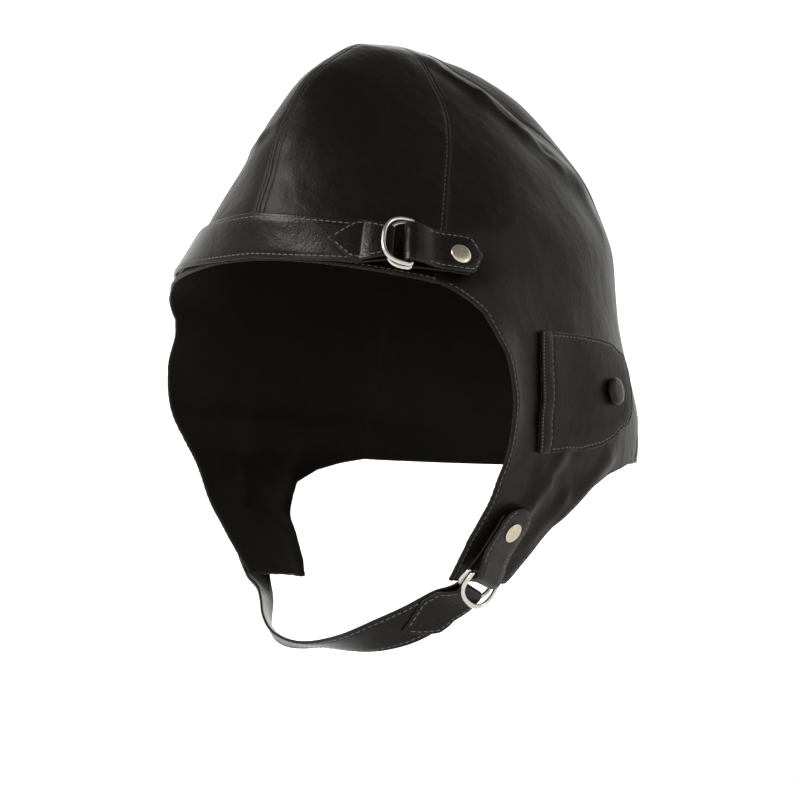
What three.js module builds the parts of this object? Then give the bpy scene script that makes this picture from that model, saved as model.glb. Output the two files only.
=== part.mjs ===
// Aviator cap: a soft leather flying cap in its worn shape, with a brow band, two ear pockets
// and a chin strap. Band and strap are fastened on the wearer's left by pairs of D-rings.
// Millimetres. +Z up, the face looks along -Y, +X is the wearer's left.
// The origin is the inside of the crown's apex, where the six crown pieces meet.

import * as THREE from "three";

// Main sizes
const CAP_LENGTH = 205;
const CAP_WIDTH = 160;
const CAP_HEIGHT = 232.5;
const LEATHER = 1.8;
const GAP = 0.3;

// Straps, rings and studs
const BAND_WIDTH = 19.4;
const STRAP_WIDTH = 17.5;
const THREADED_WIDTH = 15;
const STRAP_THICK = 1.3;
const STAND_OFF = 0.8;
const RING_WIRE = 1.8;
const RING_TALL = 24;
const RING_DEEP = 12.5;
const RING_STEP = 1.6;
const RING_CORNER = 1.5;
const RING_SQUARENESS = 2.6;
const RIVET_WIDTH = 9;
const RIVET_RISE = 1.3;
const SNAP_WIDTH = 12;
const SNAP_RISE = 3;
const POCKET_THICK = 1.8;
const POCKET_LIFT = 2.8;

// Where the straps' pieces sit
const FRONT_HEM_CENTRE = 0.441 * CAP_HEIGHT;
const FRONT_HEM_SIDE = 0.4753 * CAP_HEIGHT;
const NAPE_CORNER = 0.7613 * CAP_HEIGHT;
const BROW_BAR_ANGLE = 38.2;
const BROW_FAR_ANGLE = -60;
const BROW_TAIL = 33.5;
const CHIN_TAIL = 41;
const BROW_TAB = { length: 30, rivet: 20, drop: 1.4 };
const CHIN_TAB = { length: 33, rivet: 22, drop: 0 };
const CHIN_TAIL_DROOP = 1;
const CHIN_TAB_TOP = { drop: 0.84 * CAP_HEIGHT, y: -0.032 * CAP_LENGTH, lift: 0.3 };
const CHIN_TAB_LOW = { drop: 0.967 * CAP_HEIGHT, y: -0.058 * CAP_LENGTH, lift: 1.6 };
const SEWN_END = 18;
const SNAP_SEAT = { y: 0.183 * CAP_LENGTH, drop: 0.643 * CAP_HEIGHT };

// Folds
const FOLD_WIDTH = 10;
const FOLD_RISE = 2;

// Mesh steps
const CROWN_STEPS = 15;
const END_PANEL_STEPS = 8;
const SIDE_PANEL_STEPS = 16;
const STUD_SIDES = 16;
const WIRE_SIDES = 6;
const RING_TURNS = 26;
const TIP = 0.09;

function table(names, scales, rows) {
  const fill = (row) => names.map((name, i) => [name, row[i] * scales[i]]);
  return rows.map((row) => Object.fromEntries(fill(row)));
}

// Outline sections from the apex down to the lower end of the ear flaps. front and back are
// reaches from the apex, half is the half width, the drops are measured at the front, the
// sides and the back, and the seams are the angles of the side seams from the front.
const SECTIONS = table(
  ["front", "back", "half", "squareFront", "squareBack", "dropFront", "dropSide", "dropBack",
    "seamFront", "seamRear"],
  [CAP_LENGTH, CAP_LENGTH, CAP_WIDTH, 1, 1, CAP_HEIGHT, CAP_HEIGHT, CAP_HEIGHT, 1, 1],
  [
  [0, 0, 0, 2, 2, 0, 0, 0, 52, 118],
  [0.0976, 0.1171, 0.0688, 1.9, 2, 0.0077, 0.0138, 0.0095, 52, 119],
  [0.1805, 0.2244, 0.1375, 1.8, 2, 0.0275, 0.043, 0.0301, 54, 122],
  [0.2902, 0.3659, 0.2094, 1.7, 2, 0.0839, 0.0839, 0.0731, 54.5, 128],
  [0.3463, 0.4683, 0.2875, 1.65, 2, 0.1441, 0.1441, 0.1441, 54, 133],
  [0.3951, 0.522, 0.3781, 1.65, 2.1, 0.2172, 0.2172, 0.2172, 51.4, 137],
  [0.4171, 0.5439, 0.4344, 1.72, 2.1, 0.2796, 0.2796, 0.2796, 49.2, 139],
  [0.4488, 0.5512, 0.5, 1.85, 2.1, 0.3591, 0.3591, 0.3591, 48.2, 139],
  [0.4585, 0.5561, 0.525, 2.3, 2.1, 0.4452, 0.4452, 0.4452, 46, 139],
  [0.4634, 0.561, 0.5375, 4, 2.15, 0.5226, 0.5226, 0.5226, 45, 137],
  [0.4683, 0.5951, 0.5625, 6, 2.3, 0.6516, 0.6516, 0.6516, 45, 134],
  [0.4683, 0.6098, 0.5563, 6, 2.35, 0.7032, 0.7032, 0.7032, 45, 132.5],
  [0.4683, 0.6195, 0.5469, 6, 2.35, 0.7591, 0.7591, 0.7591, 45, 131],
  [0.4683, 0.6195, 0.5125, 6, 2.35, 0.8129, 0.8129, 0.8129, 45, 131],
  [0.4683, 0.6195, 0.4781, 6, 2.35, 0.8667, 0.8667, 0.8667, 45, 131],
  [0.4683, 0.6195, 0.4125, 6, 2.35, 0.9312, 0.9312, 0.9312, 45, 131],
  [0.4683, 0.6195, 0.3438, 6, 2.35, 1, 1, 1, 45, 131],
  ],
);

// Front edge of the ear flap, from the brow hem down
const OPENING = table(["drop", "y"], [CAP_HEIGHT, CAP_LENGTH], [
  [0.4753, -0.3024],
  [0.4895, -0.2771],
  [0.5024, -0.2566],
  [0.5135, -0.239],
  [0.523, -0.2229],
  [0.5527, -0.2073],
  [0.5957, -0.1961],
  [0.6516, -0.1844],
  [0.7032, -0.1678],
  [0.7591, -0.1463],
  [0.7871, -0.138],
  [0.8667, -0.1327],
  [0.9312, -0.1283],
  [1, -0.1151],
]);

// Rear edge of the ear flap, from the nape corner down
const REAR_HEM = table(["drop", "y"], [CAP_HEIGHT, CAP_LENGTH], [
  [0.772, 0.3366],
  [0.7892, 0.2634],
  [0.8151, 0.1927],
  [0.8925, 0.122],
  [0.9699, 0.0927],
  [1, 0.0732],
]);

// Ridges and hollows pressed into the leather, each along a straight line
const FOLDS = table(
  ["x", "y", "z", "toX", "toY", "toZ", "width", "rise"],
  [CAP_WIDTH, CAP_LENGTH, CAP_HEIGHT, CAP_WIDTH, CAP_LENGTH, CAP_HEIGHT, FOLD_WIDTH, FOLD_RISE],
  [
  [0.562, -0.195, -0.606, 0.556, -0.176, -0.688, 1.2, 2.5],
  [0.119, -0.015, -0.034, 0.225, 0.068, -0.09, 0.6, 0.9],
  [0.225, 0.068, -0.09, 0.306, 0.132, -0.155, 0.7, 0.9],
  [0.306, 0.132, -0.155, 0.388, 0.254, -0.232, 0.9, 0.7],
  [0.125, 0.078, -0.043, 0.225, 0.176, -0.116, 1.1, -1.6],
  [-0.001, -0.146, -0.009, -0.001, -0.322, -0.129, 0.5, 0.4],
  [0.55, 0.039, -0.766, 0.481, -0.005, -0.86, 0.5, 1],
  [0.537, 0.224, -0.761, 0.475, 0.117, -0.86, 0.6, 0.8],
  [0.425, 0.083, -0.933, 0.362, 0.063, -0.985, 0.5, 0.5],
  ],
);

// Outline of the ear pocket, from its front seam to its rounded rear end
const POCKET = table(["y", "top", "bottom"], [CAP_LENGTH, CAP_HEIGHT, CAP_HEIGHT], [
  [-0.0512, 0.5449, 0.7639],
  [-0.0244, 0.5445, 0.7622],
  [0.0293, 0.5437, 0.7587],
  [0.0927, 0.5437, 0.7535],
  [0.1561, 0.5454, 0.7424],
  [0.2049, 0.5505, 0.7269],
  [0.239, 0.5656, 0.7032],
  [0.2634, 0.5935, 0.6731],
  [0.2732, 0.6172, 0.6495],
]);

// Centre line of the brow band by angle from the front, the wearer's left positive
const BROW_LINE = table(["angle", "drop"], [1, CAP_HEIGHT], [
  [-62, 0.4353],
  [-45, 0.4232],
  [-24, 0.4086],
  [0, 0.397],
  [24, 0.4095],
  [39, 0.4206],
  [54, 0.4267],
  [62, 0.4292],
]);

// Centre line of the chin strap from the flap's end to under the chin, and the direction
// across it from its upper edge to its lower edge
const CHIN_LINE = table(
  ["x", "y", "z", "acrossX", "acrossY", "acrossZ"],
  [CAP_WIDTH, CAP_LENGTH, CAP_HEIGHT, 1, 1, 1],
  [
  [0.3425, -0.0732, -1.0039, 0.14, 0.98, -0.1],
  [0.2987, -0.0956, -1.0323, 0.26, 0.86, -0.42],
  [0.2469, -0.1341, -1.0649, 0.25, 0.72, -0.65],
  [0.1875, -0.1722, -1.0865, 0.22, 0.8, -0.56],
  [0.1, -0.2073, -1.1037, 0.1, 0.94, -0.3],
  [0, -0.222, -1.1088, 0, 0.99, -0.1],
  ],
);

function spread(from, to, count) {
  return Array.from({ length: count + 1 }, (_, i) => from + ((to - from) * i) / count);
}

function radians(degrees) {
  return (degrees * Math.PI) / 180;
}

// Smooth value of a column at a fractional row number.
function sample(rows, name, at) {
  const last = rows.length - 1;
  const t = Math.min(Math.max(at, 0), last);
  const i = Math.min(Math.floor(t), last - 1);
  const f = t - i;
  const value = (k) => rows[Math.min(Math.max(k, 0), last)][name];
  const start = i > 0 ? (value(i + 1) - value(i - 1)) / 2 : value(1) - value(0);
  const end = i + 2 <= last ? (value(i + 2) - value(i)) / 2 : value(last) - value(last - 1);
  const step = value(i + 1) - value(i);
  return value(i) + start * f + (3 * step - 2 * start - end) * f * f + (start + end - 2 * step) * f ** 3;
}

// Straight interpolation of one column against another.
function lookup(rows, key, at, name) {
  let i = 1;
  while (i < rows.length - 1 && rows[i][key] < at) i += 1;
  const a = rows[i - 1];
  const b = rows[i];
  const f = (at - a[key]) / (b[key] - a[key]);
  return a[name] + (b[name] - a[name]) * Math.min(Math.max(f, 0), 1);
}

function bisect(low, high, isBelow) {
  let a = low;
  let b = high;
  for (let i = 0; i < 36; i += 1) {
    const middle = (a + b) / 2;
    if (isBelow(middle)) a = middle;
    else b = middle;
  }
  return (a + b) / 2;
}

// Outer face of the cap without its folds.
function shape(angle, row) {
  const column = (name) => sample(SECTIONS, name, row);
  const half = column("half");
  const length = (column("front") + column("back")) / 2;
  const centre = (column("back") - column("front")) / 2;
  const c = Math.cos(angle);
  const s = Math.sin(angle);
  const square = c > 0 ? column("squareFront") : column("squareBack");
  const reach = (Math.abs(c / length) ** square + Math.abs(s / half) ** square) ** (-1 / square);
  const drop = (c > 0 ? column("dropFront") : column("dropBack")) * c * c + column("dropSide") * s * s;
  return new THREE.Vector3(reach * s, centre - reach * c, LEATHER - drop);
}

function normalOf(surface, angle, row) {
  const turn = 1e-3;
  const step = 1e-2;
  const across = surface(angle + turn, row).sub(surface(angle - turn, row));
  const down = surface(angle, row + step).sub(surface(angle, Math.max(row - step, 0)));
  return down.cross(across).normalize();
}

// Outer face of the cap with its folds.
function outer(angle, row) {
  const point = shape(angle, row);
  const mirrored = new THREE.Vector3(Math.abs(point.x), point.y, point.z);
  const near = new THREE.Vector3();
  let rise = 0;
  for (const fold of FOLDS) {
    const from = new THREE.Vector3(fold.x, fold.y, fold.z);
    const line = new THREE.Line3(from, new THREE.Vector3(fold.toX, fold.toY, fold.toZ));
    line.closestPointToPoint(mirrored, true, near);
    rise += fold.rise * Math.exp(-((near.distanceTo(mirrored) / fold.width) ** 2));
  }
  return point.addScaledVector(normalOf(shape, angle, row), rise);
}

function rowAtDrop(drop) {
  return bisect(0, SECTIONS.length - 1, (row) => sample(SECTIONS, "dropSide", row) < drop);
}

function angleAtY(row, y) {
  return bisect(0, Math.PI, (angle) => shape(angle, row).y < y);
}

// Angle a given distance further round the cap.
function shiftAngle(angle, row, distance) {
  const turn = 1e-3;
  const arc = shape(angle + turn, row).distanceTo(shape(angle - turn, row)) / (2 * turn);
  return angle + distance / arc;
}

function onCap(angle, row, lift) {
  return outer(angle, row).addScaledVector(normalOf(outer, angle, row), lift);
}

// A closed body from layers of points, turned so that its faces look out.
function body(points, faces) {
  let volume = 0;
  for (let i = 0; i < faces.length; i += 3) {
    const [a, b, c] = [points[faces[i]], points[faces[i + 1]], points[faces[i + 2]]];
    volume += a.dot(b.clone().cross(c));
  }
  const turned = volume < 0 ? faces.slice().reverse() : faces;
  const geometry = new THREE.BufferGeometry();
  const flat = points.flatMap((p) => [p.x, p.y, p.z]);
  geometry.setAttribute("position", new THREE.Float32BufferAttribute(flat, 3));
  geometry.setIndex(turned);
  geometry.computeVertexNormals();
  return geometry;
}

function quad(faces, a, b, c, d) {
  faces.push(a, b, c, a, c, d);
}

// A slab between an outer and an inner grid of points of the same size.
function slab(outside, inside) {
  const rows = outside.length;
  const cols = outside[0].length;
  const at = (layer, i, j) => (layer * rows + i) * cols + j;
  const faces = [];
  for (let i = 0; i + 1 < rows; i += 1) {
    for (let j = 0; j + 1 < cols; j += 1) {
      quad(faces, at(0, i, j), at(0, i + 1, j), at(0, i + 1, j + 1), at(0, i, j + 1));
      quad(faces, at(1, i, j), at(1, i, j + 1), at(1, i + 1, j + 1), at(1, i + 1, j));
    }
    quad(faces, at(0, i, 0), at(1, i, 0), at(1, i + 1, 0), at(0, i + 1, 0));
    quad(faces, at(0, i + 1, cols - 1), at(1, i + 1, cols - 1), at(1, i, cols - 1), at(0, i, cols - 1));
  }
  for (let j = 0; j + 1 < cols; j += 1) {
    quad(faces, at(0, 0, j), at(0, 0, j + 1), at(1, 0, j + 1), at(1, 0, j));
    quad(faces, at(1, rows - 1, j), at(1, rows - 1, j + 1), at(0, rows - 1, j + 1), at(0, rows - 1, j));
  }
  return body([...outside.flat(), ...inside.flat()], faces);
}

// A loop of closed sections, joined end to end or capped.
function loft(sections, joined) {
  const sides = sections[0].length;
  const count = sections.length;
  const faces = [];
  const at = (i, j) => (i % count) * sides + (j % sides);
  const spans = joined ? count : count - 1;
  for (let i = 0; i < spans; i += 1) {
    for (let j = 0; j < sides; j += 1) quad(faces, at(i, j), at(i + 1, j), at(i + 1, j + 1), at(i, j + 1));
  }
  if (!joined) {
    for (let j = 1; j + 1 < sides; j += 1) {
      faces.push(at(0, 0), at(0, j), at(0, j + 1));
      faces.push(at(count - 1, 0), at(count - 1, j + 1), at(count - 1, j));
    }
  }
  return body(sections.flat(), faces);
}

// Crown pieces and flaps
const crownRows = spread(TIP, rowAtDrop(FRONT_HEM_SIDE), CROWN_STEPS);
const openingRows = OPENING.slice(1).map((edge) => rowAtDrop(edge.drop));
const aboveCorner = openingRows.filter((row) => row < rowAtDrop(NAPE_CORNER) - 0.2);
const seamRows = [...crownRows, ...aboveCorner, rowAtDrop(NAPE_CORNER)];
const hemRows = [...REAR_HEM.slice(0, 3), ...REAR_HEM.slice(3).flatMap((edge, i) => {
  const before = REAR_HEM[i + 2].drop;
  return [{ drop: (before + edge.drop) / 2 }, edge];
})].map((edge) => rowAtDrop(edge.drop));

function panel(rows, steps, edges) {
  const grid = rows.map((row) => {
    const [low, high] = edges(row);
    return spread(low, high, steps).map((angle) => [angle, row]);
  });
  const layer = (lift) => grid.map((line) => line.map(([angle, row]) => onCap(angle, row, lift)));
  return slab(layer(0), layer(-LEATHER));
}

function seam(name, row, side) {
  return shiftAngle(radians(sample(SECTIONS, name, row)), row, (side * GAP) / 2);
}

function frontPanel() {
  const last = crownRows[CROWN_STEPS];
  const grid = crownRows.map((seamRow) => spread(0, 1, END_PANEL_STEPS).map((share) => {
    const hem = FRONT_HEM_CENTRE + (FRONT_HEM_SIDE - FRONT_HEM_CENTRE) * share * share;
    const row = TIP + ((seamRow - TIP) / (last - TIP)) * (rowAtDrop(hem) - TIP);
    const low = shiftAngle(0, row, GAP / 2);
    return [low + (seam("seamFront", row, -1) - low) * share, row];
  }));
  const layer = (lift) => grid.map((line) => line.map(([angle, row]) => onCap(angle, row, lift)));
  return slab(layer(0), layer(-LEATHER));
}

function sidePanel() {
  const crownEnd = crownRows[CROWN_STEPS];
  const corner = rowAtDrop(NAPE_CORNER);
  return panel([...seamRows, ...hemRows], SIDE_PANEL_STEPS, (row) => {
    const drop = sample(SECTIONS, "dropSide", row);
    const open = angleAtY(row, lookup(OPENING, "drop", drop, "y"));
    const low = row <= crownEnd ? seam("seamFront", row, 1) : open;
    const rear = angleAtY(row, lookup(REAR_HEM, "drop", drop, "y"));
    const high = row <= corner ? seam("seamRear", row, -1) : rear;
    return [low, high];
  });
}

function backPanel() {
  return panel(seamRows, END_PANEL_STEPS, (row) => [
    seam("seamRear", row, 1),
    shiftAngle(Math.PI, row, -GAP / 2),
  ]);
}

// Ear pocket: a flat leather pocket that lies close at its front seam and stands off behind
function pocketLift(y) {
  const share = (y - POCKET[0].y) / (POCKET[POCKET.length - 1].y - POCKET[0].y);
  return GAP + POCKET_LIFT * share ** 2;
}

function onSide(y, drop, lift) {
  const row = rowAtDrop(drop);
  return onCap(angleAtY(row, y), row, lift);
}

function earPocket() {
  const layer = (lift) => POCKET.map((column) => spread(column.top, column.bottom, 6).map((drop) => (
    onSide(column.y, drop, pocketLift(column.y) + lift)
  )));
  return slab(layer(POCKET_THICK), layer(0));
}

// Dome of a stud from its foot to its top: shares of its radius and of its height
const DOME = [[1, 0], [1, 0.35], [0.9, 0.65], [0.62, 0.9], [0.3, 1]];

// A domed stud standing on a surface given by two distances and a lift.
function stud(place, width, rise, base) {
  const centre = place(0, 0, base);
  const normal = place(0, 0, base + rise).sub(centre).normalize();
  const side = place(width, 0, base).sub(centre).cross(normal).normalize();
  const along = normal.clone().cross(side);
  const ring = ([share, height]) => spread(0, 2 * Math.PI, STUD_SIDES).slice(0, -1).map((turn) => (
    centre.clone().addScaledVector(normal, rise * height)
      .addScaledVector(along, (share * width * Math.cos(turn)) / 2)
      .addScaledVector(side, (share * width * Math.sin(turn)) / 2)
  ));
  return loft(DOME.map(ring), false);
}

function pocketSnap() {
  const place = (along, down, lift) => onSide(SNAP_SEAT.y + along, SNAP_SEAT.drop + down, lift);
  const base = pocketLift(SNAP_SEAT.y + SNAP_WIDTH / 2) + POCKET_THICK + GAP;
  return stud(place, SNAP_WIDTH, SNAP_RISE, base);
}

// Brow line: distance along the band, height above its centre line and lift. The band is
// straight across its width and clears the leather below it.
const browAngles = spread(-64, 64, 128);
const browPoints = browAngles.map((angle) => (
  outer(radians(angle), rowAtDrop(lookup(BROW_LINE, "angle", angle, "drop")))
));
const browTable = browAngles.map((angle) => ({ angle, distance: 0 }));
for (let i = 1; i < browTable.length; i += 1) {
  browTable[i].distance = browTable[i - 1].distance + browPoints[i].distanceTo(browPoints[i - 1]);
}

function browDistance(angle) {
  return lookup(browTable, "angle", angle, "distance");
}

function onBrow(distance, up, lift) {
  const angle = lookup(browTable, "distance", distance, "angle");
  const drop = lookup(BROW_LINE, "angle", angle, "drop");
  const [low, middle, high] = [-1, 0, 1].map((side) => (
    onCap(radians(angle), rowAtDrop(drop - (side * BAND_WIDTH) / 2), 0)
  ));
  const across = high.clone().sub(low).normalize();
  const normal = normalOf(outer, radians(angle), rowAtDrop(drop));
  normal.addScaledVector(across, -normal.dot(across)).normalize();
  const centre = low.add(high).multiplyScalar(0.5);
  const bulge = Math.max(0, middle.sub(centre).dot(normal));
  return centre.addScaledVector(across, up).addScaledVector(normal, lift + bulge);
}

// Chin line: down the left flap, under the chin and up the right flap
function flapKnot(seat) {
  const row = rowAtDrop(seat.drop);
  const angle = angleAtY(row, seat.y);
  const point = onCap(angle, row, seat.lift);
  return { point, across: outer(angle + 0.03, row).sub(outer(angle - 0.03, row)).normalize() };
}

const flapMiddle = {
  drop: (CHIN_TAB_TOP.drop + CHIN_TAB_LOW.drop) / 2,
  y: (CHIN_TAB_TOP.y + CHIN_TAB_LOW.y) / 2,
  lift: (CHIN_TAB_TOP.lift + CHIN_TAB_LOW.lift) / 2,
};
const leftKnots = [CHIN_TAB_TOP, flapMiddle, CHIN_TAB_LOW].map(flapKnot);
for (const knot of CHIN_LINE) {
  const across = new THREE.Vector3(knot.acrossX, knot.acrossY, knot.acrossZ);
  leftKnots.push({ point: new THREE.Vector3(knot.x, knot.y, knot.z), across });
}
const mirrorX = (v) => new THREE.Vector3(-v.x, v.y, v.z);
const rightKnots = leftKnots.slice(0, -1).reverse().map((knot) => (
  { point: mirrorX(knot.point), across: mirrorX(knot.across) }
));
const knots = [...leftKnots, ...rightKnots];
const chinCurve = new THREE.CatmullRomCurve3(knots.map((knot) => knot.point), false, "centripetal");
const acrossCurve = new THREE.CatmullRomCurve3(knots.map((knot) => knot.across), false, "centripetal");
const chinTable = spread(0, 1, 240).map((t) => ({ t, distance: 0 }));
for (let i = 1; i < chinTable.length; i += 1) {
  const span = chinCurve.getPoint(chinTable[i].t).distanceTo(chinCurve.getPoint(chinTable[i - 1].t));
  chinTable[i].distance = chinTable[i - 1].distance + span;
}
const CHIN_TOTAL = chinTable[chinTable.length - 1].distance;

function onChin(distance, down, lift) {
  const t = lookup(chinTable, "distance", distance, "t");
  const tangent = chinCurve.getTangent(t);
  const across = acrossCurve.getPoint(t);
  across.addScaledVector(tangent, -across.dot(tangent)).normalize();
  const normal = tangent.clone().cross(across);
  return chinCurve.getPoint(t).addScaledVector(across, down).addScaledVector(normal, lift);
}

// A strip of leather whose path is given by stations of distance, lift, half width and shift
function strip(place, stations) {
  const sections = stations.map((station, i) => {
    const before = stations[Math.max(i - 1, 0)];
    const after = stations[Math.min(i + 1, stations.length - 1)];
    const run = after.along - before.along;
    const climb = after.lift - before.lift;
    const size = Math.hypot(run, climb);
    const point = (side, face) => place(
      station.along - (face * climb * STRAP_THICK) / (2 * size),
      station.shift + side * station.half,
      station.lift + (face * run * STRAP_THICK) / (2 * size),
    );
    return [point(-1, 1), point(0, 1), point(1, 1), point(1, -1), point(0, -1), point(-1, -1)];
  });
  return loft(sections, false);
}

// Lifts of the layers of a fastening above the leather
const UNDER = STAND_OFF + STRAP_THICK / 2;
const INNER_RING = STAND_OFF + STRAP_THICK + GAP + RING_WIRE / 2;
const OUTER_BAR = INNER_RING + RING_WIRE + GAP;
const OVER = UNDER + STRAP_THICK + GAP;
const WRAP = RING_WIRE / 2 + GAP + STRAP_THICK / 2;
const BACK_LAYER = INNER_RING + WRAP;
const OUTER_BOW = BACK_LAYER + WRAP + 2 * GAP;
const LOOP_TOP = OUTER_BAR + WRAP;

function bowReach(deep, v) {
  const tall = (RING_TALL - RING_WIRE) / 2;
  const share = Math.abs(v) / tall;
  const bow = (1 - share ** RING_SQUARENESS) ** (1 / RING_SQUARENESS);
  return RING_CORNER + (deep - RING_WIRE / 2 - RING_CORNER) * bow;
}

// D-ring: its bar lies at distance 0 and its bow reaches to the negative side.
function dRing(place, deep, barLift, bowLift) {
  const tall = (RING_TALL - RING_WIRE) / 2;
  const reach = deep - RING_WIRE / 2;
  const centre = spread(0, 2 * Math.PI, RING_TURNS).slice(0, -1).map((turn) => {
    const c = Math.cos(turn);
    const s = Math.sin(turn);
    const square = c > 0 ? 2 * RING_SQUARENESS : RING_SQUARENESS;
    const part = (x) => Math.sign(x) * Math.abs(x) ** (2 / square);
    const along = (c > 0 ? RING_CORNER : reach - RING_CORNER) * part(c) - RING_CORNER;
    const lift = barLift + ((bowLift - barLift) * -along) / reach;
    return new THREE.Vector3(along, tall * part(s), lift);
  });
  const sections = centre.map((point, i) => {
    const before = centre[(i + RING_TURNS - 1) % RING_TURNS];
    const after = centre[(i + 1) % RING_TURNS];
    const tangent = after.clone().sub(before).normalize();
    const lifted = new THREE.Vector3(0, 0, 1).addScaledVector(tangent, -tangent.z).normalize();
    const aside = tangent.clone().cross(lifted);
    return spread(0, 2 * Math.PI, WIRE_SIDES).slice(0, -1).map((turn) => {
      const spot = point.clone();
      spot.addScaledVector(lifted, (Math.cos(turn) * RING_WIRE) / 2);
      spot.addScaledVector(aside, (Math.sin(turn) * RING_WIRE) / 2);
      return place(spot.x, spot.y, spot.z);
    });
  });
  return loft(sections, true);
}

// Half turn of a strip about a point, from below it to above it or back.
function halfTurn(along, lift, radius, side, half) {
  return [-60, -30, 0, 30, 60].map((degrees) => ({
    along: along + side * radius * Math.cos(radians(degrees)),
    lift: lift + radius * Math.sin(radians(degrees)),
    half,
    shift: 0,
  }));
}

// Tab folded round the bars of both rings, with its loose upper end shaped
function ringTab(place, length, width, end) {
  const half = width / 2;
  const middle = (UNDER + LOOP_TOP) / 2;
  const radius = (LOOP_TOP - UNDER) / 2;
  const station = ([along, lift, slim = 1]) => ({ along, lift, half: half * slim, shift: 0 });
  const under = spread(length - 6, 0, 6).map((along) => [along, UNDER]);
  const over = [[0, LOOP_TOP], [4, LOOP_TOP - 1.4], [8, OVER + 0.9], [12, OVER]];
  const flat = spread(12, length - end[0][0], 4).slice(1, -1).map((along) => [along, OVER]);
  const tip = end.map(([back, slim]) => [length - back, OVER, slim]);
  const turn = halfTurn(0, middle, radius, -1, half);
  return strip(place, [...under.map(station), ...turn, ...[...over, ...flat, ...tip].map(station)]);
}

// Strap drawn through both rings and folded back over itself, its tail shaped to a point
function threadedStrap(place, lower, tail, droop, width) {
  const fold = -bowReach(RING_DEEP - RING_STEP, THREADED_WIDTH / 2);
  const half = THREADED_WIDTH / 2;
  const turn = halfTurn(fold, INNER_RING, WRAP, 1, half);
  const widen = (along) => half + ((width - THREADED_WIDTH) / 2) * Math.min(1, (fold - along) / 10);
  const back = [
    [fold, BACK_LAYER], [-RING_DEEP, BACK_LAYER], [-RING_DEEP - 4, BACK_LAYER - 0.8], [-RING_DEEP - 8, OVER],
  ].map(([along, lift]) => ({ along, lift, half: widen(along), shift: 0 }));
  const rest = [[0.55, 1], [0.68, 1], [0.84, 0.56], [1, 0.06]].map(([share, slim]) => ({
    along: -tail * share,
    lift: OVER,
    half: (slim * width) / 2,
    shift: droop * Math.min(1, share * 1.2),
  }));
  const lowerPart = lower.map((along) => ({
    along,
    lift: UNDER,
    half: widen(along),
    shift: 0,
  }));
  const entry = { along: fold, lift: UNDER, half, shift: 0 };
  return strip(place, [...lowerPart, entry, ...turn, ...back, ...rest]);
}

const ARROW_END = [[8, 1], [4, 0.95], [0, 0.12]];
const ROUND_END = [[9, 1], [5, 0.9], [2, 0.62], [0, 0.2]];

const browBar = browDistance(BROW_BAR_ANGLE);
const atBrow = (along, up, lift) => onBrow(browBar + along, up, lift);
const chinBar = lookup(chinTable, "t", 2 / (knots.length - 1), "distance") + GAP + RING_WIRE;
const atChin = (along, down, lift) => onChin(chinBar - along, down, lift);

function browBand() {
  const start = browDistance(BROW_FAR_ANGLE) - browBar;
  const middle = browDistance(0) - browBar;
  const lower = [...spread(start, middle, 14).slice(0, -1), ...spread(middle, -RING_DEEP - 4, 8)];
  return threadedStrap(atBrow, lower, BROW_TAIL, 0, BAND_WIDTH);
}

function chinStrap() {
  const start = chinBar - (CHIN_TOTAL - SEWN_END / 2);
  const lower = spread(start, -RING_DEEP - 4, 34);
  return threadedStrap(atChin, lower, CHIN_TAIL, CHIN_TAIL_DROOP, STRAP_WIDTH);
}

function rivet(place, tab) {
  const seat = (along, across, lift) => place(tab.rivet + along, across - tab.drop, lift);
  return stud(seat, RIVET_WIDTH, RIVET_RISE, OVER + STRAP_THICK / 2 + 1.5 * GAP);
}

// The same piece on the wearer's right.
function mirrored(geometry) {
  const copy = geometry.clone();
  copy.scale(-1, 1, 1);
  copy.setIndex(Array.from(copy.index.array).reverse());
  copy.computeVertexNormals();
  return copy;
}

const MATERIALS = {
  leather: { color: 0x211c19, roughness: 0.5, metalness: 0 },
  strap: { color: 0x171412, roughness: 0.35, metalness: 0 },
  nickel: { color: 0xc9c9c6, roughness: 0.22, metalness: 1 },
  rivet: { color: 0xd8cba6, roughness: 0.3, metalness: 1 },
};

const cap = new THREE.Group();
cap.name = "aviator_cap";

function add(name, geometry, kind) {
  const mesh = new THREE.Mesh(geometry, new THREE.MeshStandardMaterial(MATERIALS[kind]));
  mesh.name = name;
  cap.add(mesh);
}

function addPair(name, geometry, kind) {
  add(`${name}_left`, geometry, kind);
  add(`${name}_right`, mirrored(geometry), kind);
}

addPair("front_panel", frontPanel(), "leather");
addPair("side_panel", sidePanel(), "leather");
addPair("back_panel", backPanel(), "leather");
addPair("ear_pocket", earPocket(), "leather");
addPair("pocket_snap", pocketSnap(), "leather");
add("brow_band", browBand(), "strap");
add("brow_tab", ringTab(atBrow, BROW_TAB.length, BAND_WIDTH, ARROW_END), "strap");
add("brow_ring_outer", dRing(atBrow, RING_DEEP, OUTER_BAR, OUTER_BOW), "nickel");
add("brow_ring_inner", dRing(atBrow, RING_DEEP - RING_STEP, INNER_RING, INNER_RING), "nickel");
add("brow_rivet", rivet(atBrow, BROW_TAB), "rivet");
add("chin_strap", chinStrap(), "strap");
add("chin_tab", ringTab(atChin, CHIN_TAB.length, BAND_WIDTH, ROUND_END), "strap");
add("chin_ring_outer", dRing(atChin, RING_DEEP, OUTER_BAR, OUTER_BOW), "nickel");
add("chin_ring_inner", dRing(atChin, RING_DEEP - RING_STEP, INNER_RING, INNER_RING), "nickel");
add("chin_rivet", rivet(atChin, CHIN_TAB), "rivet");

export default cap;
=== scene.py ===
# %% [markdown]
# # A leather aviator cap
# The cap is a soft helmet of six crown pieces, with two ear flaps, two ear pockets, a band round
# the brow and a strap under the chin. This lesson dresses its plain model in real leather, thread
# and metal. First the plain model is loaded: it fixes every place and size.

# %% Load the plain model
import math

import bpy
import numpy as np
from mathutils import Matrix, Vector


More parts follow.
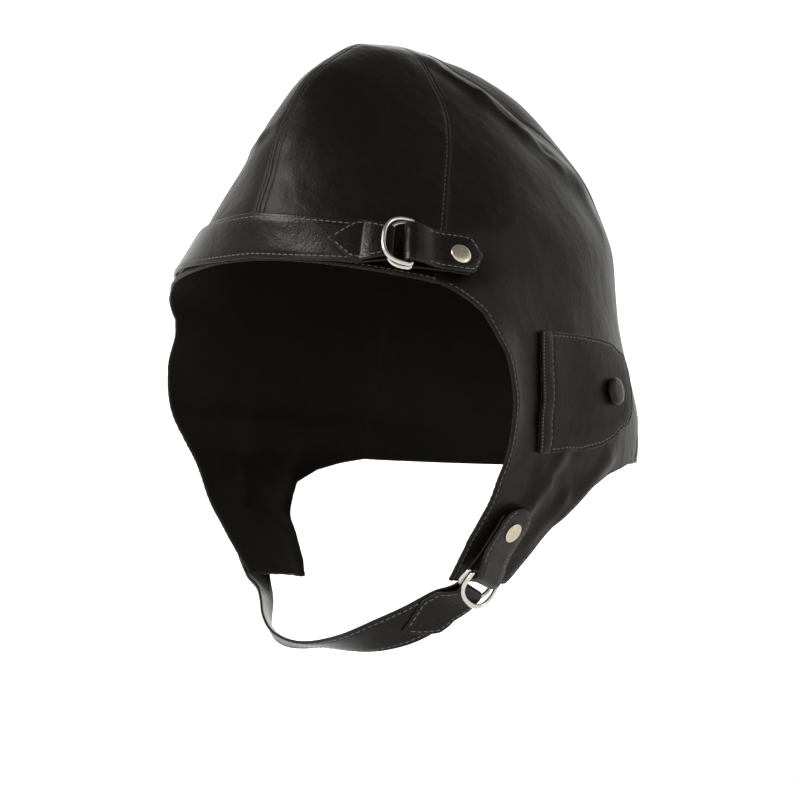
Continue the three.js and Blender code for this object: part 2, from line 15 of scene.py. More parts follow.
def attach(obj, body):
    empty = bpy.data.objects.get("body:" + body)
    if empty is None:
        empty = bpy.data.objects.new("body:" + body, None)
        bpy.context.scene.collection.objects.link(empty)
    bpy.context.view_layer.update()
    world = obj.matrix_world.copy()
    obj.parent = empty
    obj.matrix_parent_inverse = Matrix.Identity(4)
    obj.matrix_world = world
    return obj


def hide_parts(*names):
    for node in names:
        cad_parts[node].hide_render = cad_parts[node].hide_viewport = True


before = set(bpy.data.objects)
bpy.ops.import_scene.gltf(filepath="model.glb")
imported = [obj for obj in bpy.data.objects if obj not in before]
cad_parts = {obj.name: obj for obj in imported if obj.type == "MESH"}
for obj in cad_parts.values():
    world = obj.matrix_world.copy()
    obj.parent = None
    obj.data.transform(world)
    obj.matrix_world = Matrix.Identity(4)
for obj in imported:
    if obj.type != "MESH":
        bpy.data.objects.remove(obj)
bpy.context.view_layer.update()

# %% [markdown]
# ## Camera
# The cap is seen from its wearer's front left and a little from below, through a long lens. The
# three axes of the camera are worked out from its azimuth, elevation and roll, and its place from
# the distance and the point of the picture where the crown's peak lies. A matrix is used instead
# of a tracking constraint, because the small roll of the picture is then exact.

# %% Camera
AZIMUTH, ELEVATION, ROLL = math.radians(37.5), math.radians(-3.0), math.radians(2.0)
DISTANCE, LENS, SENSOR, PICTURE = 1.5, 154.0, 36.0, 800.0
PEAK = np.array([0.0, -0.022, 0.0003])
PEAK_PIXEL = np.array([369.0, 43.5])


def camera_axes():
    """Right, up and back axes: back points at the camera, and right and up are rolled about it."""
    back = np.array([math.sin(AZIMUTH) * math.cos(ELEVATION), -math.cos(AZIMUTH) * math.cos(ELEVATION),
                     math.sin(ELEVATION)])
    right = np.array([math.cos(AZIMUTH), math.sin(AZIMUTH), 0.0])
    up = np.cross(back, right)
    return (math.cos(ROLL) * right + math.sin(ROLL) * up, math.cos(ROLL) * up - math.sin(ROLL) * right, back)


right, up, back = camera_axes()
depth = DISTANCE - PEAK @ back - 0.0026
offset = (PEAK_PIXEL - PICTURE / 2) * depth * SENSOR / (LENS * PICTURE)
place = PEAK - offset[0] * right + offset[1] * up + depth * back
camera_data = bpy.data.cameras.new("camera")
camera_data.lens = LENS
camera_data.sensor_width = SENSOR
camera = bpy.data.objects.new("camera", camera_data)
camera.matrix_world = Matrix([[*row, p] for row, p in zip(np.stack([right, up, back], 1), place)] + [[0, 0, 0, 1]])
bpy.context.scene.collection.objects.link(camera)
bpy.context.scene.camera = camera
print("camera at", place.round(3))

# %% [markdown]
# ## Making a mesh from arrays
# Every new piece is a grid of points worked out with numpy. One helper puts points and faces into a mesh in metres,
# sets smooth shading, keeps any number that the materials read from the points, parents the piece to an empty for the
# body it rides on, and hides the plain solid it stands for.

# %% Mesh helpers
MM = 0.001


def grid_faces(rows, cols, close_rows=False, close_cols=False):
    """Quads between neighbouring points of a grid, numbered row by row."""
    i = np.arange(rows if close_rows else rows - 1)
    j = np.arange(cols if close_cols else cols - 1)
    i, j = np.meshgrid(i, j, indexing="ij")
    k, m = (i + 1) % rows, (j + 1) % cols
    return np.stack([i * cols + j, k * cols + j, k * cols + m, i * cols + m], -1).reshape(-1, 4)


def add_piece(name, points, faces, materials, replaces=(), marks=None, face_material=None):
    """Mesh piece from points in millimetres; marks are numbers stored on the points."""
    mesh = bpy.data.meshes.new(name)
    face_list = faces if isinstance(faces, list) else faces.tolist()
    mesh.from_pydata((np.asarray(points).reshape(-1, 3) * MM).tolist(), [], face_list)
    mesh.shade_smooth()
    for material in materials:
        mesh.materials.append(material)
    for mark, values in (marks or {}).items():
        layer = mesh.attributes.new(mark, "FLOAT", "POINT")
        layer.data.foreach_set("value", np.asarray(values, np.float32).ravel())
    if face_material is not None:
        mesh.polygons.foreach_set("material_index", np.asarray(face_material, np.int32))
    piece = bpy.data.objects.new(name, mesh)
    bpy.context.scene.collection.objects.link(piece)
    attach(piece, "root")
    if replaces:
        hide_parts(*replaces)
    print(name, len(mesh.vertices), "points", len(mesh.polygons), "faces")
    return piece


# %% [markdown]
# ## The shape of the cap
# The crown and flaps follow one surface. It is given by sections from the apex down: how far each
# reaches to the front, the back and the side, how square its front and back quarters are, how far
# it lies below the apex, and the angles of its side seams. Between sections each column is a
# smooth curve through the table, so one angle and one row number give a point of the surface.

# %% Sections of the cap
COLUMNS = ["front", "back", "half", "square_front", "square_back", "drop_front", "drop_side", "drop_back",
           "seam_front", "seam_rear"]
SECTIONS = np.array([
    [0, 0, 0, 2, 2, 0, 0, 0, 52, 118],
    [20, 24, 11, 1.9, 2, 1.8, 3.2, 2.2, 52, 119],
    [37, 46, 22, 1.8, 2, 6.4, 10, 7, 54, 122],
    [59.5, 75, 33.5, 1.7, 2, 19.5, 19.5, 17, 54.5, 128],
    [71, 96, 46, 1.65, 2, 33.5, 33.5, 33.5, 54, 133],
    [81, 107, 60.5, 1.65, 2.1, 50.5, 50.5, 50.5, 51.4, 137],
    [85.5, 111.5, 69.5, 1.72, 2.1, 65, 65, 65, 49.2, 139],
    [92, 113, 80, 1.85, 2.1, 83.5, 83.5, 83.5, 48.2, 139],
    [94, 114, 84, 2.3, 2.1, 103.5, 103.5, 103.5, 46, 139],
    [95, 115, 86, 4, 2.15, 121.5, 121.5, 121.5, 45, 137],
    [96, 122, 90, 6, 2.3, 151.5, 151.5, 151.5, 45, 134],
    [96, 125, 89, 6, 2.35, 163.5, 163.5, 163.5, 45, 132.5],
    [96, 127, 87.5, 6, 2.35, 176.5, 176.5, 176.5, 45, 131],
    [96, 127, 82, 6, 2.35, 189, 189, 189, 45, 131],
    [96, 127, 76.5, 6, 2.35, 201.5, 201.5, 201.5, 45, 131],
    [96, 127, 66, 6, 2.35, 216.5, 216.5, 216.5, 45, 131],
    [96, 127, 55, 6, 2.35, 232.5, 232.5, 232.5, 45, 131],
])
LEATHER = 1.8
GAP = 0.3
TIP = 0.012


def column(name, row):
    """Cubic curve through one column of the table at fractional row numbers."""
    v = SECTIONS[:, COLUMNS.index(name)]
    last = len(v) - 1
    t = np.clip(row, 0, last)
    i = np.minimum(t.astype(int), last - 1)
    f = t - i
    a, b = v[i], v[i + 1]
    step = b - a
    start = np.where(i > 0, (b - v[np.maximum(i - 1, 0)]) / 2, step)
    end = np.where(i + 2 <= last, (v[np.minimum(i + 2, last)] - a) / 2, step)
    return a + start * f + (3 * step - 2 * start - end) * f**2 + (start + end - 2 * step) * f**3


def plain_cap(angle, row):
    """Points at an angle from the front: a superellipse in plan, sunk by its front, side and back drops."""
    angle, row = np.broadcast_arrays(np.asarray(angle, float), np.asarray(row, float))
    half = column("half", row)
    length = (column("front", row) + column("back", row)) / 2
    centre = (column("back", row) - column("front", row)) / 2
    c, s = np.cos(angle), np.sin(angle)
    square = np.where(c > 0, column("square_front", row), column("square_back", row))
    reach = (np.abs(c / length)**square + np.abs(s / half)**square)**(-1 / square)
    end_drop = np.where(c > 0, column("drop_front", row), column("drop_back", row))
    drop = end_drop * c * c + column("drop_side", row) * s * s
    return np.stack([reach * s, centre - reach * c, LEATHER - drop], -1)


def facing(surface, angle, row):
    """Outward unit normals of a surface by small steps across and down it."""
    across = surface(angle + 1e-3, row) - surface(angle - 1e-3, row)
    down = surface(angle, row + 1e-2) - surface(angle, np.maximum(row - 1e-2, 0))
    n = np.cross(down, across)
    return n / np.maximum(np.linalg.norm(n, axis=-1, keepdims=True), 1e-12)


ROW_STEPS = np.linspace(0, len(SECTIONS) - 1, 3000)
DROP_STEPS = column("drop_side", ROW_STEPS)


def row_at_drop(drop):
    """Row number whose side drop is the given drop, read from a fine table."""
    return np.interp(drop, DROP_STEPS, ROW_STEPS)


def angle_at_y(row, y):
    """Angle on the left half where the section passes y, found by halving the range."""
    row, y = np.broadcast_arrays(np.asarray(row, float), np.asarray(y, float))
    low, high = np.zeros(row.shape), np.full(row.shape, math.pi)
    for _ in range(34):
        middle = (low + high) / 2
        before = plain_cap(middle, row)[..., 1] < y
        low, high = np.where(before, middle, low), np.where(before, high, middle)
    return (low + high) / 2


def shift_angle(angle, row, distance):
    """Angle a distance in millimetres further round the section."""
    arc = np.linalg.norm(plain_cap(angle + 1e-3, row) - plain_cap(angle - 1e-3, row), axis=-1) / 2e-3
    return angle + distance / arc


print("cap", len(SECTIONS), "sections, lowest", column("drop_side", np.array([99.0]))[0], "mm down")

# %% [markdown]
# ## Folds in the leather
# The leather doesn't lie flat: a crease runs from the apex over the near side, the ears push the
# sides out, and the flaps buckle. Each fold is a straight ridge or hollow with a bell-shaped cross
# section, added along the surface's normal. The first table repeats the folds of the plain model,
# which are the same on both sides. The second adds the smaller ones that only the eye needs.

# %% Folds
FOLDS = np.array([
    [90, -40, -141, 89, -36, -160, 12, 5],
    [19, -3, -8, 36, 14, -21, 6, 1.8],
    [36, 14, -21, 49, 27, -36, 7, 1.8],
    [49, 27, -36, 62, 52, -54, 9, 1.4],
    [20, 16, -10, 36, 36, -27, 11, -3.2],
    [-0.1, -30, -2, -0.1, -66, -30, 5, 0.8],
    [88, 8, -178, 77, -1, -200, 5, 2],
    [86, 46, -177, 76, 24, -200, 6, 1.6],
    [68, 17, -217, 58, 13, -229, 5, 1],
])
SMALL_FOLDS = np.array([
    # from x, y, z, to x, y, z, width, rise; these lie on one side each
    [-6, -74.5, -41, -15.5, -73, -46.4, 4, 0.5],
    [-15.5, -73, -46.4, -26.2, -66.6, -50.2, 4, 0.8],
    [-8, -74, -47, -34, -60, -56, 5, -0.6],
    [27, -0.4, -10.8, 37, 9.2, -18.8, 2.4, 0.7],
    [37, 9.2, -18.8, 48.2, 21, -31.8, 2.4, 0.9],
    [48.2, 21, -31.8, 60.3, 38.8, -49.5, 2.8, 0.7],
    [24.4, 3.1, -9.9, 34.4, 12.7, -17.9, 3.4, -1.4],
    [34.4, 12.7, -17.9, 45.6, 24.5, -30.9, 3.8, -2.3],
    [45.6, 24.5, -30.9, 54.8, 35.1, -42, 4.4, -1.5],
    [19, 10.6, -7.8, 40, 32, -29, 9, 1.4],
    [62, 52, -54, 68, 59, -75, 7, 0.9],
    [84, -3, -183, 79, 19, -195, 4, 1.1],
    [82, 10, -186, 74, 22, -200, 4, -0.9],
    [80, 22, -193, 68, 14, -212, 4, 0.9],
])


def ridges(points, table):
    """Sum of bell-shaped ridges: rise times exp(-(distance to the line / width) squared)."""
    total = np.zeros(points.shape[:-1])
    for x, y, z, x2, y2, z2, width, rise in table:
        start, line = np.array([x, y, z]), np.array([x2 - x, y2 - y, z2 - z])
        t = np.clip((points - start) @ line / (line @ line), 0, 1)
        total += rise * np.exp(-(np.linalg.norm(points - start - t[..., None] * line, axis=-1) / width)**2)
    return total


def cap(angle, row):
    """The cap's outer face with the folds of the plain model."""
    points = plain_cap(angle, row)
    both = points * np.where(points[..., :1] < 0, [-1, 1, 1], [1, 1, 1])
    return points + facing(plain_cap, angle, row) * ridges(both, FOLDS)[..., None]


def waves(points, length, count, seed):
    """Soft irregular waves: a sum of sines in seeded directions, about one high."""
    random = np.random.default_rng(seed)
    total = np.zeros(points.shape[:-1])
    for _ in range(count):
        direction = random.normal(size=3)
        direction *= 2 * math.pi / (length * random.uniform(0.7, 1.5)) / np.linalg.norm(direction)
        total += np.sin(points @ direction + random.uniform(0, 2 * math.pi))
    return total / math.sqrt(count)


def relief(points):
    """Small folds, long soft waves and short handling wrinkles of the leather, added together."""
    bent = points + waves(points, 60, 5, 3)[..., None] * 6
    return ridges(points, SMALL_FOLDS) + 0.22 * waves(points, 34, 6, 11) + 0.05 * waves(bent, 9, 8, 5)


# %% [markdown]
# ## Leather, thread and metal
# The hide is nearly black and satin, with a fine pebble grain, and shines where it is bent or
# rubbed. Grain and wear are used by several materials, so each is a node group. The grain mixes
# small cells with a fine noise and only drives a bump, so it stays the same size on every piece.

# %% Shader groups
def group(name, inputs, outputs):
    """Empty node group with its sockets; gives the tree and its two end nodes."""
    tree = bpy.data.node_groups.new(name, "ShaderNodeTree")
    for socket, kind, value in inputs:
        made = tree.interface.new_socket(name=socket, in_out="INPUT", socket_type=kind)
        if value is not None:
            made.default_value = value
    for socket, kind in outputs:
        tree.interface.new_socket(name=socket, in_out="OUTPUT", socket_type=kind)
    return tree, tree.nodes.new("NodeGroupInput"), tree.nodes.new("NodeGroupOutput")


def math_node(tree, operation, a, b, clamp=False):
    """Result of one sum or product of two numbers or sockets."""
    node = tree.nodes.new("ShaderNodeMath")
    node.operation, node.use_clamp = operation, clamp
    for socket, value in zip(node.inputs, (a, b)):
        if isinstance(value, (int, float)):
            socket.default_value = value
        else:
            tree.links.new(value, socket)
    return node.outputs[0]


def texture(tree, kind, vector, scale, **values):
    """Texture node of a kind at a scale, with its other sockets set to numbers."""
    node = tree.nodes.new(kind)
    if isinstance(scale, (int, float)):
        node.inputs["Scale"].default_value = scale
    else:
        tree.links.new(scale, node.inputs["Scale"])
    tree.links.new(vector, node.inputs["Vector"])
    for key, value in values.items():
        if key == "feature":
            node.feature = value
        else:
            node.inputs[key].default_value = value
    return node


def make_grain():
    """Height of the hide's grain: rounded cells, worn flat here and there, with pores between."""
    tree, start, end = group("hide_grain",
                             [("Vector", "NodeSocketVector", None), ("Cells", "NodeSocketFloat", 900.0)],
                             [("Height", "NodeSocketFloat")])
    cells = texture(tree, "ShaderNodeTexVoronoi", start.outputs["Vector"], start.outputs["Cells"],
                    feature="SMOOTH_F1")
    fine = texture(tree, "ShaderNodeTexNoise", start.outputs["Vector"], 2600.0, Detail=3.0, Roughness=0.6)
    worn = texture(tree, "ShaderNodeTexNoise", start.outputs["Vector"], 28.0, Detail=2.0)
    depth = math_node(tree, "MULTIPLY", cells.outputs["Distance"], worn.outputs["Fac"])
    pores = math_node(tree, "MULTIPLY", fine.outputs["Fac"], 0.25)
    tree.links.new(math_node(tree, "ADD", depth, pores), end.inputs["Height"])
    return tree


def make_wear():
    """Share of rubbed leather: high on the edges marked on the points, broken up by noise."""
    tree, start, end = group("rubbed_edges", [("Vector", "NodeSocketVector", None), ("Edge", "NodeSocketFloat", 0.0),
                                              ("Amount", "NodeSocketFloat", 0.5)], [("Wear", "NodeSocketFloat")])
    patch = texture(tree, "ShaderNodeTexNoise", start.outputs["Vector"], 160.0, Detail=5.0, Roughness=0.65)
    haze = texture(tree, "ShaderNodeTexNoise", start.outputs["Vector"], 19.0, Detail=3.0)
    edge = math_node(tree, "MULTIPLY", start.outputs["Edge"], patch.outputs["Fac"])
    faint = math_node(tree, "MULTIPLY", math_node(tree, "SUBTRACT", haze.outputs["Fac"], 0.45), 0.5)
    both = math_node(tree, "MULTIPLY", math_node(tree, "ADD", edge, faint), start.outputs["Amount"], clamp=True)
    tree.links.new(both, end.inputs["Wear"])
    return tree


GRAIN, WEAR = make_grain(), make_wear()


def use_group(tree, group_tree, **values):
    """Group node with numbers set and sockets linked; gives its first output."""
    node = tree.nodes.new("ShaderNodeGroup")
    node.node_tree = group_tree
    for key, value in values.items():
        if isinstance(value, (int, float)):
            node.inputs[key].default_value = value
        else:
            tree.links.new(value, node.inputs[key])
    return node.outputs[0]


def new_material(name):
    """Material, its tree, its shader and the object coordinates as a socket."""
    material = bpy.data.materials.new(name)
    material.use_nodes = True
    tree = material.node_tree
    return material, tree, tree.nodes["Principled BSDF"], tree.nodes.new("ShaderNodeTexCoord").outputs["Object"]


def mixed(tree, fac, dark, light):
    """Colour between dark and light; a mix node's colour sockets are its numbers 6 and 7, its colour result is 2."""
    node = tree.nodes.new("ShaderNodeMix")
    node.data_type = "RGBA"
    tree.links.new(fac, node.inputs[0])
    node.inputs[6].default_value, node.inputs[7].default_value = (*dark, 1), (*light, 1)
    return node.outputs[2]


def ranged(tree, value, low, high):
    """Value from 0 to 1 stretched to lie from low to high."""
    node = tree.nodes.new("ShaderNodeMapRange")
    tree.links.new(value, node.inputs["Value"])
    node.inputs["To Min"].default_value, node.inputs["To Max"].default_value = low, high
    return node.outputs["Result"]


def bump(tree, height, strength, distance, below=None):
    """Normal tilted by a height's slope; the distance is the relief in metres."""
    node = tree.nodes.new("ShaderNodeBump")
    node.inputs["Strength"].default_value, node.inputs["Distance"].default_value = strength, distance
    tree.links.new(height, node.inputs["Height"])
    if below is not None:
        tree.links.new(below, node.inputs["Normal"])
    return node.outputs["Normal"]


# %% [markdown]
# Leather is one material with other numbers for each finish: the cap's hide is satin, the straps
# are glossier with a tighter grain, and the flesh side inside is matt. A thin coat over the hide
# gives the polished look of finished leather.

# %% Leather materials
def leather(name, dark, light, roughness, shine, coat, cells, depth, wear=0.5):
    """Leather: dark, lighter where rubbed, with cloudy gloss and a bump of wrinkles under grain."""
    material, tree, shader, where = new_material(name)
    edge = tree.nodes.new("ShaderNodeAttribute")
    edge.attribute_name = "edge"
    rubbed = use_group(tree, WEAR, Vector=where, Edge=edge.outputs["Fac"], Amount=wear)
    tree.links.new(mixed(tree, rubbed, dark, light), shader.inputs["Base Color"])
    cloud = texture(tree, "ShaderNodeTexNoise", where, 42.0, Detail=4.0, Roughness=0.6)
    tree.links.new(ranged(tree, cloud.outputs["Fac"], *roughness), shader.inputs["Roughness"])
    grain = use_group(tree, GRAIN, Vector=where, Cells=cells)
    wrinkle = texture(tree, "ShaderNodeTexNoise", where, 140.0, Detail=5.0, Roughness=0.55)
    creased = bump(tree, wrinkle.outputs["Fac"], 0.5, 0.0006)
    tree.links.new(bump(tree, grain, depth, 0.00022, creased), shader.inputs["Normal"])
    shader.inputs["Specular IOR Level"].default_value = shine
    shader.inputs["Specular Tint"].default_value = (1.0, 0.93, 0.86, 1)
    shader.inputs["Coat Weight"].default_value = coat
    shader.inputs["Coat Roughness"].default_value = 0.22
    return material


HIDE = leather("cap_leather", (0.0036, 0.0027, 0.0021), (0.02, 0.0155, 0.0125), (0.32, 0.48), 0.11, 0.02, 900.0, 0.6)
STRAP = leather("strap_leather", (0.003, 0.0025, 0.0021), (0.02, 0.017, 0.015), (0.2, 0.36), 0.17, 0.06, 1100.0, 0.7)
FLESH = leather("flesh_side", (0.006, 0.005, 0.004), (0.012, 0.01, 0.008), (0.75, 0.95), 0.12, 0.0, 500.0, 0.7)

# %% [markdown]
# Thread is a twisted yarn with a slight lustre, and it is black. In the seams it keeps that colour. Along the open
# edges it is painted grey, a painted highlight that stands in for the sheen of the stitches there. The rings and rivets
# are plated steel: the rings are nickel, the rivets a paler warm plate, both with fine scratches that vary the gloss.

# %% Thread and metal materials
def thread(name, color):
    """Thread: fuzzy colour from half to one and a half times its own, with a twist in the bump."""
    material, tree, shader, where = new_material(name)
    fuzz = texture(tree, "ShaderNodeTexNoise", where, 1800.0, Detail=3.0)
    tree.links.new(mixed(tree, fuzz.outputs["Fac"], [c * 0.5 for c in color], [c * 1.5 for c in color]),
                   shader.inputs["Base Color"])
    tree.links.new(ranged(tree, fuzz.outputs["Fac"], 0.45, 0.7), shader.inputs["Roughness"])
    twist = tree.nodes.new("ShaderNodeTexWave")
    twist.inputs["Scale"].default_value = 900.0
    tree.links.new(where, twist.inputs["Vector"])
    tree.links.new(bump(tree, twist.outputs["Fac"], 0.4, 0.0001), shader.inputs["Normal"])
    return material


def plated(name, color, gloss):
    """Plated metal: slightly tarnished colour, with a roughness that follows fine scratches."""
    material, tree, shader, where = new_material(name)
    scratches = texture(tree, "ShaderNodeTexNoise", where, 700.0, Detail=6.0, Roughness=0.7)
    tarnish = texture(tree, "ShaderNodeTexNoise", where, 180.0, Detail=4.0)
    tree.links.new(mixed(tree, tarnish.outputs["Fac"], [c * 0.78 for c in color], color), shader.inputs["Base Color"])
    tree.links.new(ranged(tree, scratches.outputs["Fac"], *gloss), shader.inputs["Roughness"])
    tree.links.new(bump(tree, scratches.outputs["Fac"], 0.12, 0.0001), shader.inputs["Normal"])
    shader.inputs["Metallic"].default_value = 1.0
    return material


THREAD = thread("black_thread", (0.02, 0.018, 0.016))
# Painted highlight: the real thread is black, and this grey copy of it stands in for the sheen that stitches catch
# along open edges and straps.
SHEEN_PAINTED_THREAD = thread("sheen_painted_thread", (0.11, 0.1, 0.087))
NICKEL = plated("nickel_plate", (0.66, 0.63, 0.58), (0.1, 0.26))
RIVET = plated("rivet_plate", (0.66, 0.59, 0.44), (0.16, 0.34))
print("materials", [m.name for m in bpy.data.materials])

# %% [markdown]
# ## The six crown pieces and the flaps
# Each piece is a grid of angles and rows between its own edges, denser near the edges. Every point
# then knows its distance to each edge, and that distance shapes the wall: the edge is rounded, a
# valley runs where the stitches pull, and the folded allowance swells a little beside it. A
# distance also marks the points for wear. The inner face lies one leather thickness inside.

# %% Wall of a crown piece
def near_ends(count, both=True):
    """Shares from 0 to 1, closer together near both ends or only near 1."""
    x = np.linspace(0, 1, count)
    curved = (1 - np.cos(np.pi * x)) / 2 if both else np.sin(np.pi * x / 2)
    return 0.2 * x + 0.8 * curved


def smooth(x):
    """Eased step from 0 to 1: 3 x squared less 2 x cubed."""
    x = np.clip(x, 0, 1)
    return x * x * (3 - 2 * x)


def distance_to(points, line):
    """Shortest distance from each point to the corners of a finely drawn line."""
    flat = points.reshape(-1, 3)
    best = np.full(len(flat), 1e9)
    for part in np.array_split(line, max(1, len(line) // 40)):
        best = np.minimum(best, np.linalg.norm(flat[:, None] - part[None], axis=2).min(1))
    return best.reshape(points.shape[:-1])


def fine(line, step=0.6):
    """The line again with points at equal small steps."""
    length = np.r_[0, np.cumsum(np.linalg.norm(np.diff(line, axis=0), axis=1))]
    at = np.linspace(0, length[-1], max(2, int(length[-1] / step)))
    return np.stack([np.interp(at, length, line[:, k]) for k in range(3)], 1)


def rounded(distance, radius):
    """How far a face sinks near an edge so that the edge is a quarter circle."""
    x = np.clip(radius - distance, 0, radius)
    return radius - np.sqrt(radius**2 - x**2)


SEAM_ROUND, SEAM_OVERLAP, HEM_ROUND = 0.55, 0.2, 0.88
ROW_OFFSET = {"sewn": 2.2, "hem": 1.6}
SEAM_ENDS = 108.0
stitch_rows = {}


def crown_piece(name, angle, row, left_edge, right_edge, mirror):
    """Closed wall over a grid, sunk at its edges. An edge is a 'seam', 'sewn' down or a 'hem'; the foot is a hem.

    Depth below the surface: a quarter circle at the edge, plus a bell-shaped valley under the stitches.
    """
    base = cap(angle, row)
    normal = facing(cap, angle, row)
    side = np.array([-1, 1, 1]) if mirror else np.array([1, 1, 1])
    points = base + normal * relief(base * side)[..., None]
    borders = {"left": points[:, 0], "right": points[:, -1], "foot": points[-1]}
    kinds = {"left": left_edge, "right": right_edge, "foot": "hem"}
    sink, groove, near = np.zeros(row.shape), np.zeros(row.shape), np.full(row.shape, 1e9)
    for border, kind in kinds.items():
        away = distance_to(points, fine(borders[border]))
        near = np.minimum(near, away)
        sink = np.maximum(sink, rounded(away, HEM_ROUND if kind == "hem" else SEAM_ROUND))
        partly_open = name.startswith("side") and border == "left"
        open_part = smooth((-points[..., 2] - SEAM_ENDS + 2) / 5) if partly_open else 1.0
        if kind != "seam":
            valley = 0.22 * np.exp(-((away - ROW_OFFSET[kind]) / 0.45)**2)
            groove += open_part * (valley - 0.14 * np.exp(-((away - ROW_OFFSET[kind] / 2) / 0.6)**2))
            line, up = stitch_line(points, normal, away, border, ROW_OFFSET[kind])
            if border == "left" and kind == "hem":
                line, up = line[line[:, 2] < -SEAM_ENDS], up[line[:, 2] < -SEAM_ENDS]
            stitch_rows.setdefault((name, kind), []).append((line * side, up * side))
        if kind != "hem":
            groove += 0.22 * np.exp(-(away / 2.2)**2)
    outside = points - normal * (sink + groove)[..., None]
    inside = points - normal * (LEATHER - np.minimum(sink, 0.86))[..., None]
    rows, cols = row.shape
    outer_faces = grid_faces(rows, cols)
    inner_faces = outer_faces[:, ::-1] + rows * cols
    rim = np.concatenate([np.arange(rows) * cols, (rows - 1) * cols + np.arange(1, cols),
                          np.arange(rows - 2, -1, -1) * cols + cols - 1, np.arange(cols - 2, 0, -1)])
    after = np.roll(rim, -1)
    rim_faces = np.stack([rim, rim + rows * cols, after + rows * cols, after], 1)
    faces = np.concatenate([outer_faces, inner_faces, rim_faces])
    both = np.concatenate([outside.reshape(-1, 3), inside.reshape(-1, 3)]) * side
    edge = np.exp(-(near / 1.6)**2)
    if not mirror:
        faces = faces[:, ::-1]
    kind_of_face = np.r_[np.zeros(len(outer_faces)), np.ones(len(inner_faces)), np.zeros(len(rim_faces))]
    return add_piece(name + "_leather", both, faces, [HIDE, FLESH], (name,),
                     {"edge": np.r_[edge.ravel(), edge.ravel()]}, kind_of_face)


def stitch_line(points, normal, away, border, offset):
    """Points and normals where the distance to an edge is the stitches' offset, read along the grid."""
    if border == "foot":
        points, normal, away = points.transpose(1, 0, 2)[:, ::-1], normal.transpose(1, 0, 2)[:, ::-1], away.T[:, ::-1]
    elif border == "right":
        points, normal, away = points[:, ::-1], normal[:, ::-1], away[:, ::-1]
    first = np.argmax(away > offset, axis=1)
    keep = (first > 0) & (away[:, -1] > offset)
    i, j = np.nonzero(keep)[0], first[keep]
    share = ((offset - away[i, j - 1]) / np.maximum(away[i, j] - away[i, j - 1], 1e-9))[:, None]
    line = points[i, j - 1] * (1 - share) + points[i, j] * share
    return line - normal[i, j] * 0.16, normal[i, j]


# %% [markdown]
# The edges of the pieces come from the section table and three small tables: the flap's front
# edge, its rear edge from the nape's corner down, and the brow hem. The columns of the side piece
# start between its two seams and fan out to end along the flap's rear edge and tip.

# %% Edges of the pieces
OPENING = np.array([
    [110.5, -62],
    [113.8, -56.8],
    [116.8, -52.6],
    [119.4, -49],
    [121.6, -45.7],
    [128.5, -42.5],
    [138.5, -40.2],
    [151.5, -37.8],
    [163.5, -34.4],
    [176.5, -30],
    [183, -28.3],
    [201.5, -27.2],
    [216.5, -26.3],
    [232.5, -23.6],
])
REAR_HEM = np.array([
    [179.5, 69],
    [183.5, 54],
    [189.5, 39.5],
    [207.5, 25],
    [225.5, 19],
    [232.5, 15],
])
BROW_HEM_CENTRE, BROW_HEM_SIDE, NAPE = 102.53, 110.51, 177.0


def seam_angle(name, row, side):
    """Angle of a seam less half the overlap times side: -1 for the piece in front of it, 1 for the one behind."""
    return shift_angle(np.radians(column(name, row)), row, -side * SEAM_OVERLAP / 2)


def front_grid():
    """Angles and rows from the front centre seam to the front side seam, down to the brow hem."""
    share, t = np.meshgrid(near_ends(78), near_ends(150, False))
    hem = BROW_HEM_CENTRE + (BROW_HEM_SIDE - BROW_HEM_CENTRE) * share**2
    row = TIP + t * (row_at_drop(hem) - TIP)
    low = shift_angle(0.0, row, -SEAM_OVERLAP / 2)
    return low + (seam_angle("seam_front", row, -1) - low) * share, row


def side_grid():
    """Angles and rows between the side seams, fanned out to end along the flap's foot and rear edge."""
    share, t = np.meshgrid(near_ends(120), near_ends(230, False))
    corner = row_at_drop(NAPE)
    corner_y = plain_cap(seam_angle("seam_rear", corner, -1), corner)[1]
    drops = np.r_[OPENING[-1, 0], REAR_HEM[::-1, 0], NAPE]
    ys = np.r_[OPENING[-1, 1], REAR_HEM[::-1, 1], corner_y]
    length = np.r_[0, np.cumsum(np.hypot(np.diff(drops), np.diff(ys)))]
    end_drop = np.interp(share * length[-1], length, drops)
    end_y = np.interp(share * length[-1], length, ys)
    end_row = row_at_drop(end_drop)
    row = TIP + t * (end_row - TIP)

    def natural(at):
        drop = column("drop_side", at)
        open_edge = angle_at_y(at, np.interp(drop, OPENING[:, 0], OPENING[:, 1]))
        low = np.where(drop < OPENING[0, 0], seam_angle("seam_front", at, 1), open_edge)
        return low + (seam_angle("seam_rear", at, -1) - low) * share
    turn = smooth((column("drop_side", row) - 100) / np.maximum(end_drop - 100, 1))
    return natural(row) + turn * (angle_at_y(end_row, end_y) - natural(end_row)), row


def back_grid():
    """Angles and rows from the rear side seam to the centre of the back, down to the nape."""
    share, t = np.meshgrid(near_ends(84), near_ends(190, False))
    row = TIP + t * (row_at_drop(NAPE) - TIP)
    low = seam_angle("seam_rear", row, 1)
    return low + (shift_angle(math.pi, row, SEAM_OVERLAP / 2) - low) * share, row


# %% [markdown]
# The left and right pieces are the same grids, mirrored, so one loop makes all six. The front and
# back pieces are sewn down along both seams, and the side piece lies under them.

# %% Crown pieces and flaps
for side_name, mirror in (("left", False), ("right", True)):
    crown_piece("front_panel_" + side_name, *front_grid(), "sewn", "sewn", mirror)
    crown_piece("side_panel_" + side_name, *side_grid(), "hem", "seam", mirror)
    crown_piece("back_panel_" + side_name, *back_grid(), "sewn", "sewn", mirror)

# %% [markdown]
# ## Strips that follow a line
# The band, the strap and their tabs are straight strips that follow a line and pass over and under
# other layers. A strip is worked out in its own flat space first: distance along the line, lift
# above the leather and half width. Each line then has a frame at every half millimetre, and three
# interpolations carry the flat strip onto it.

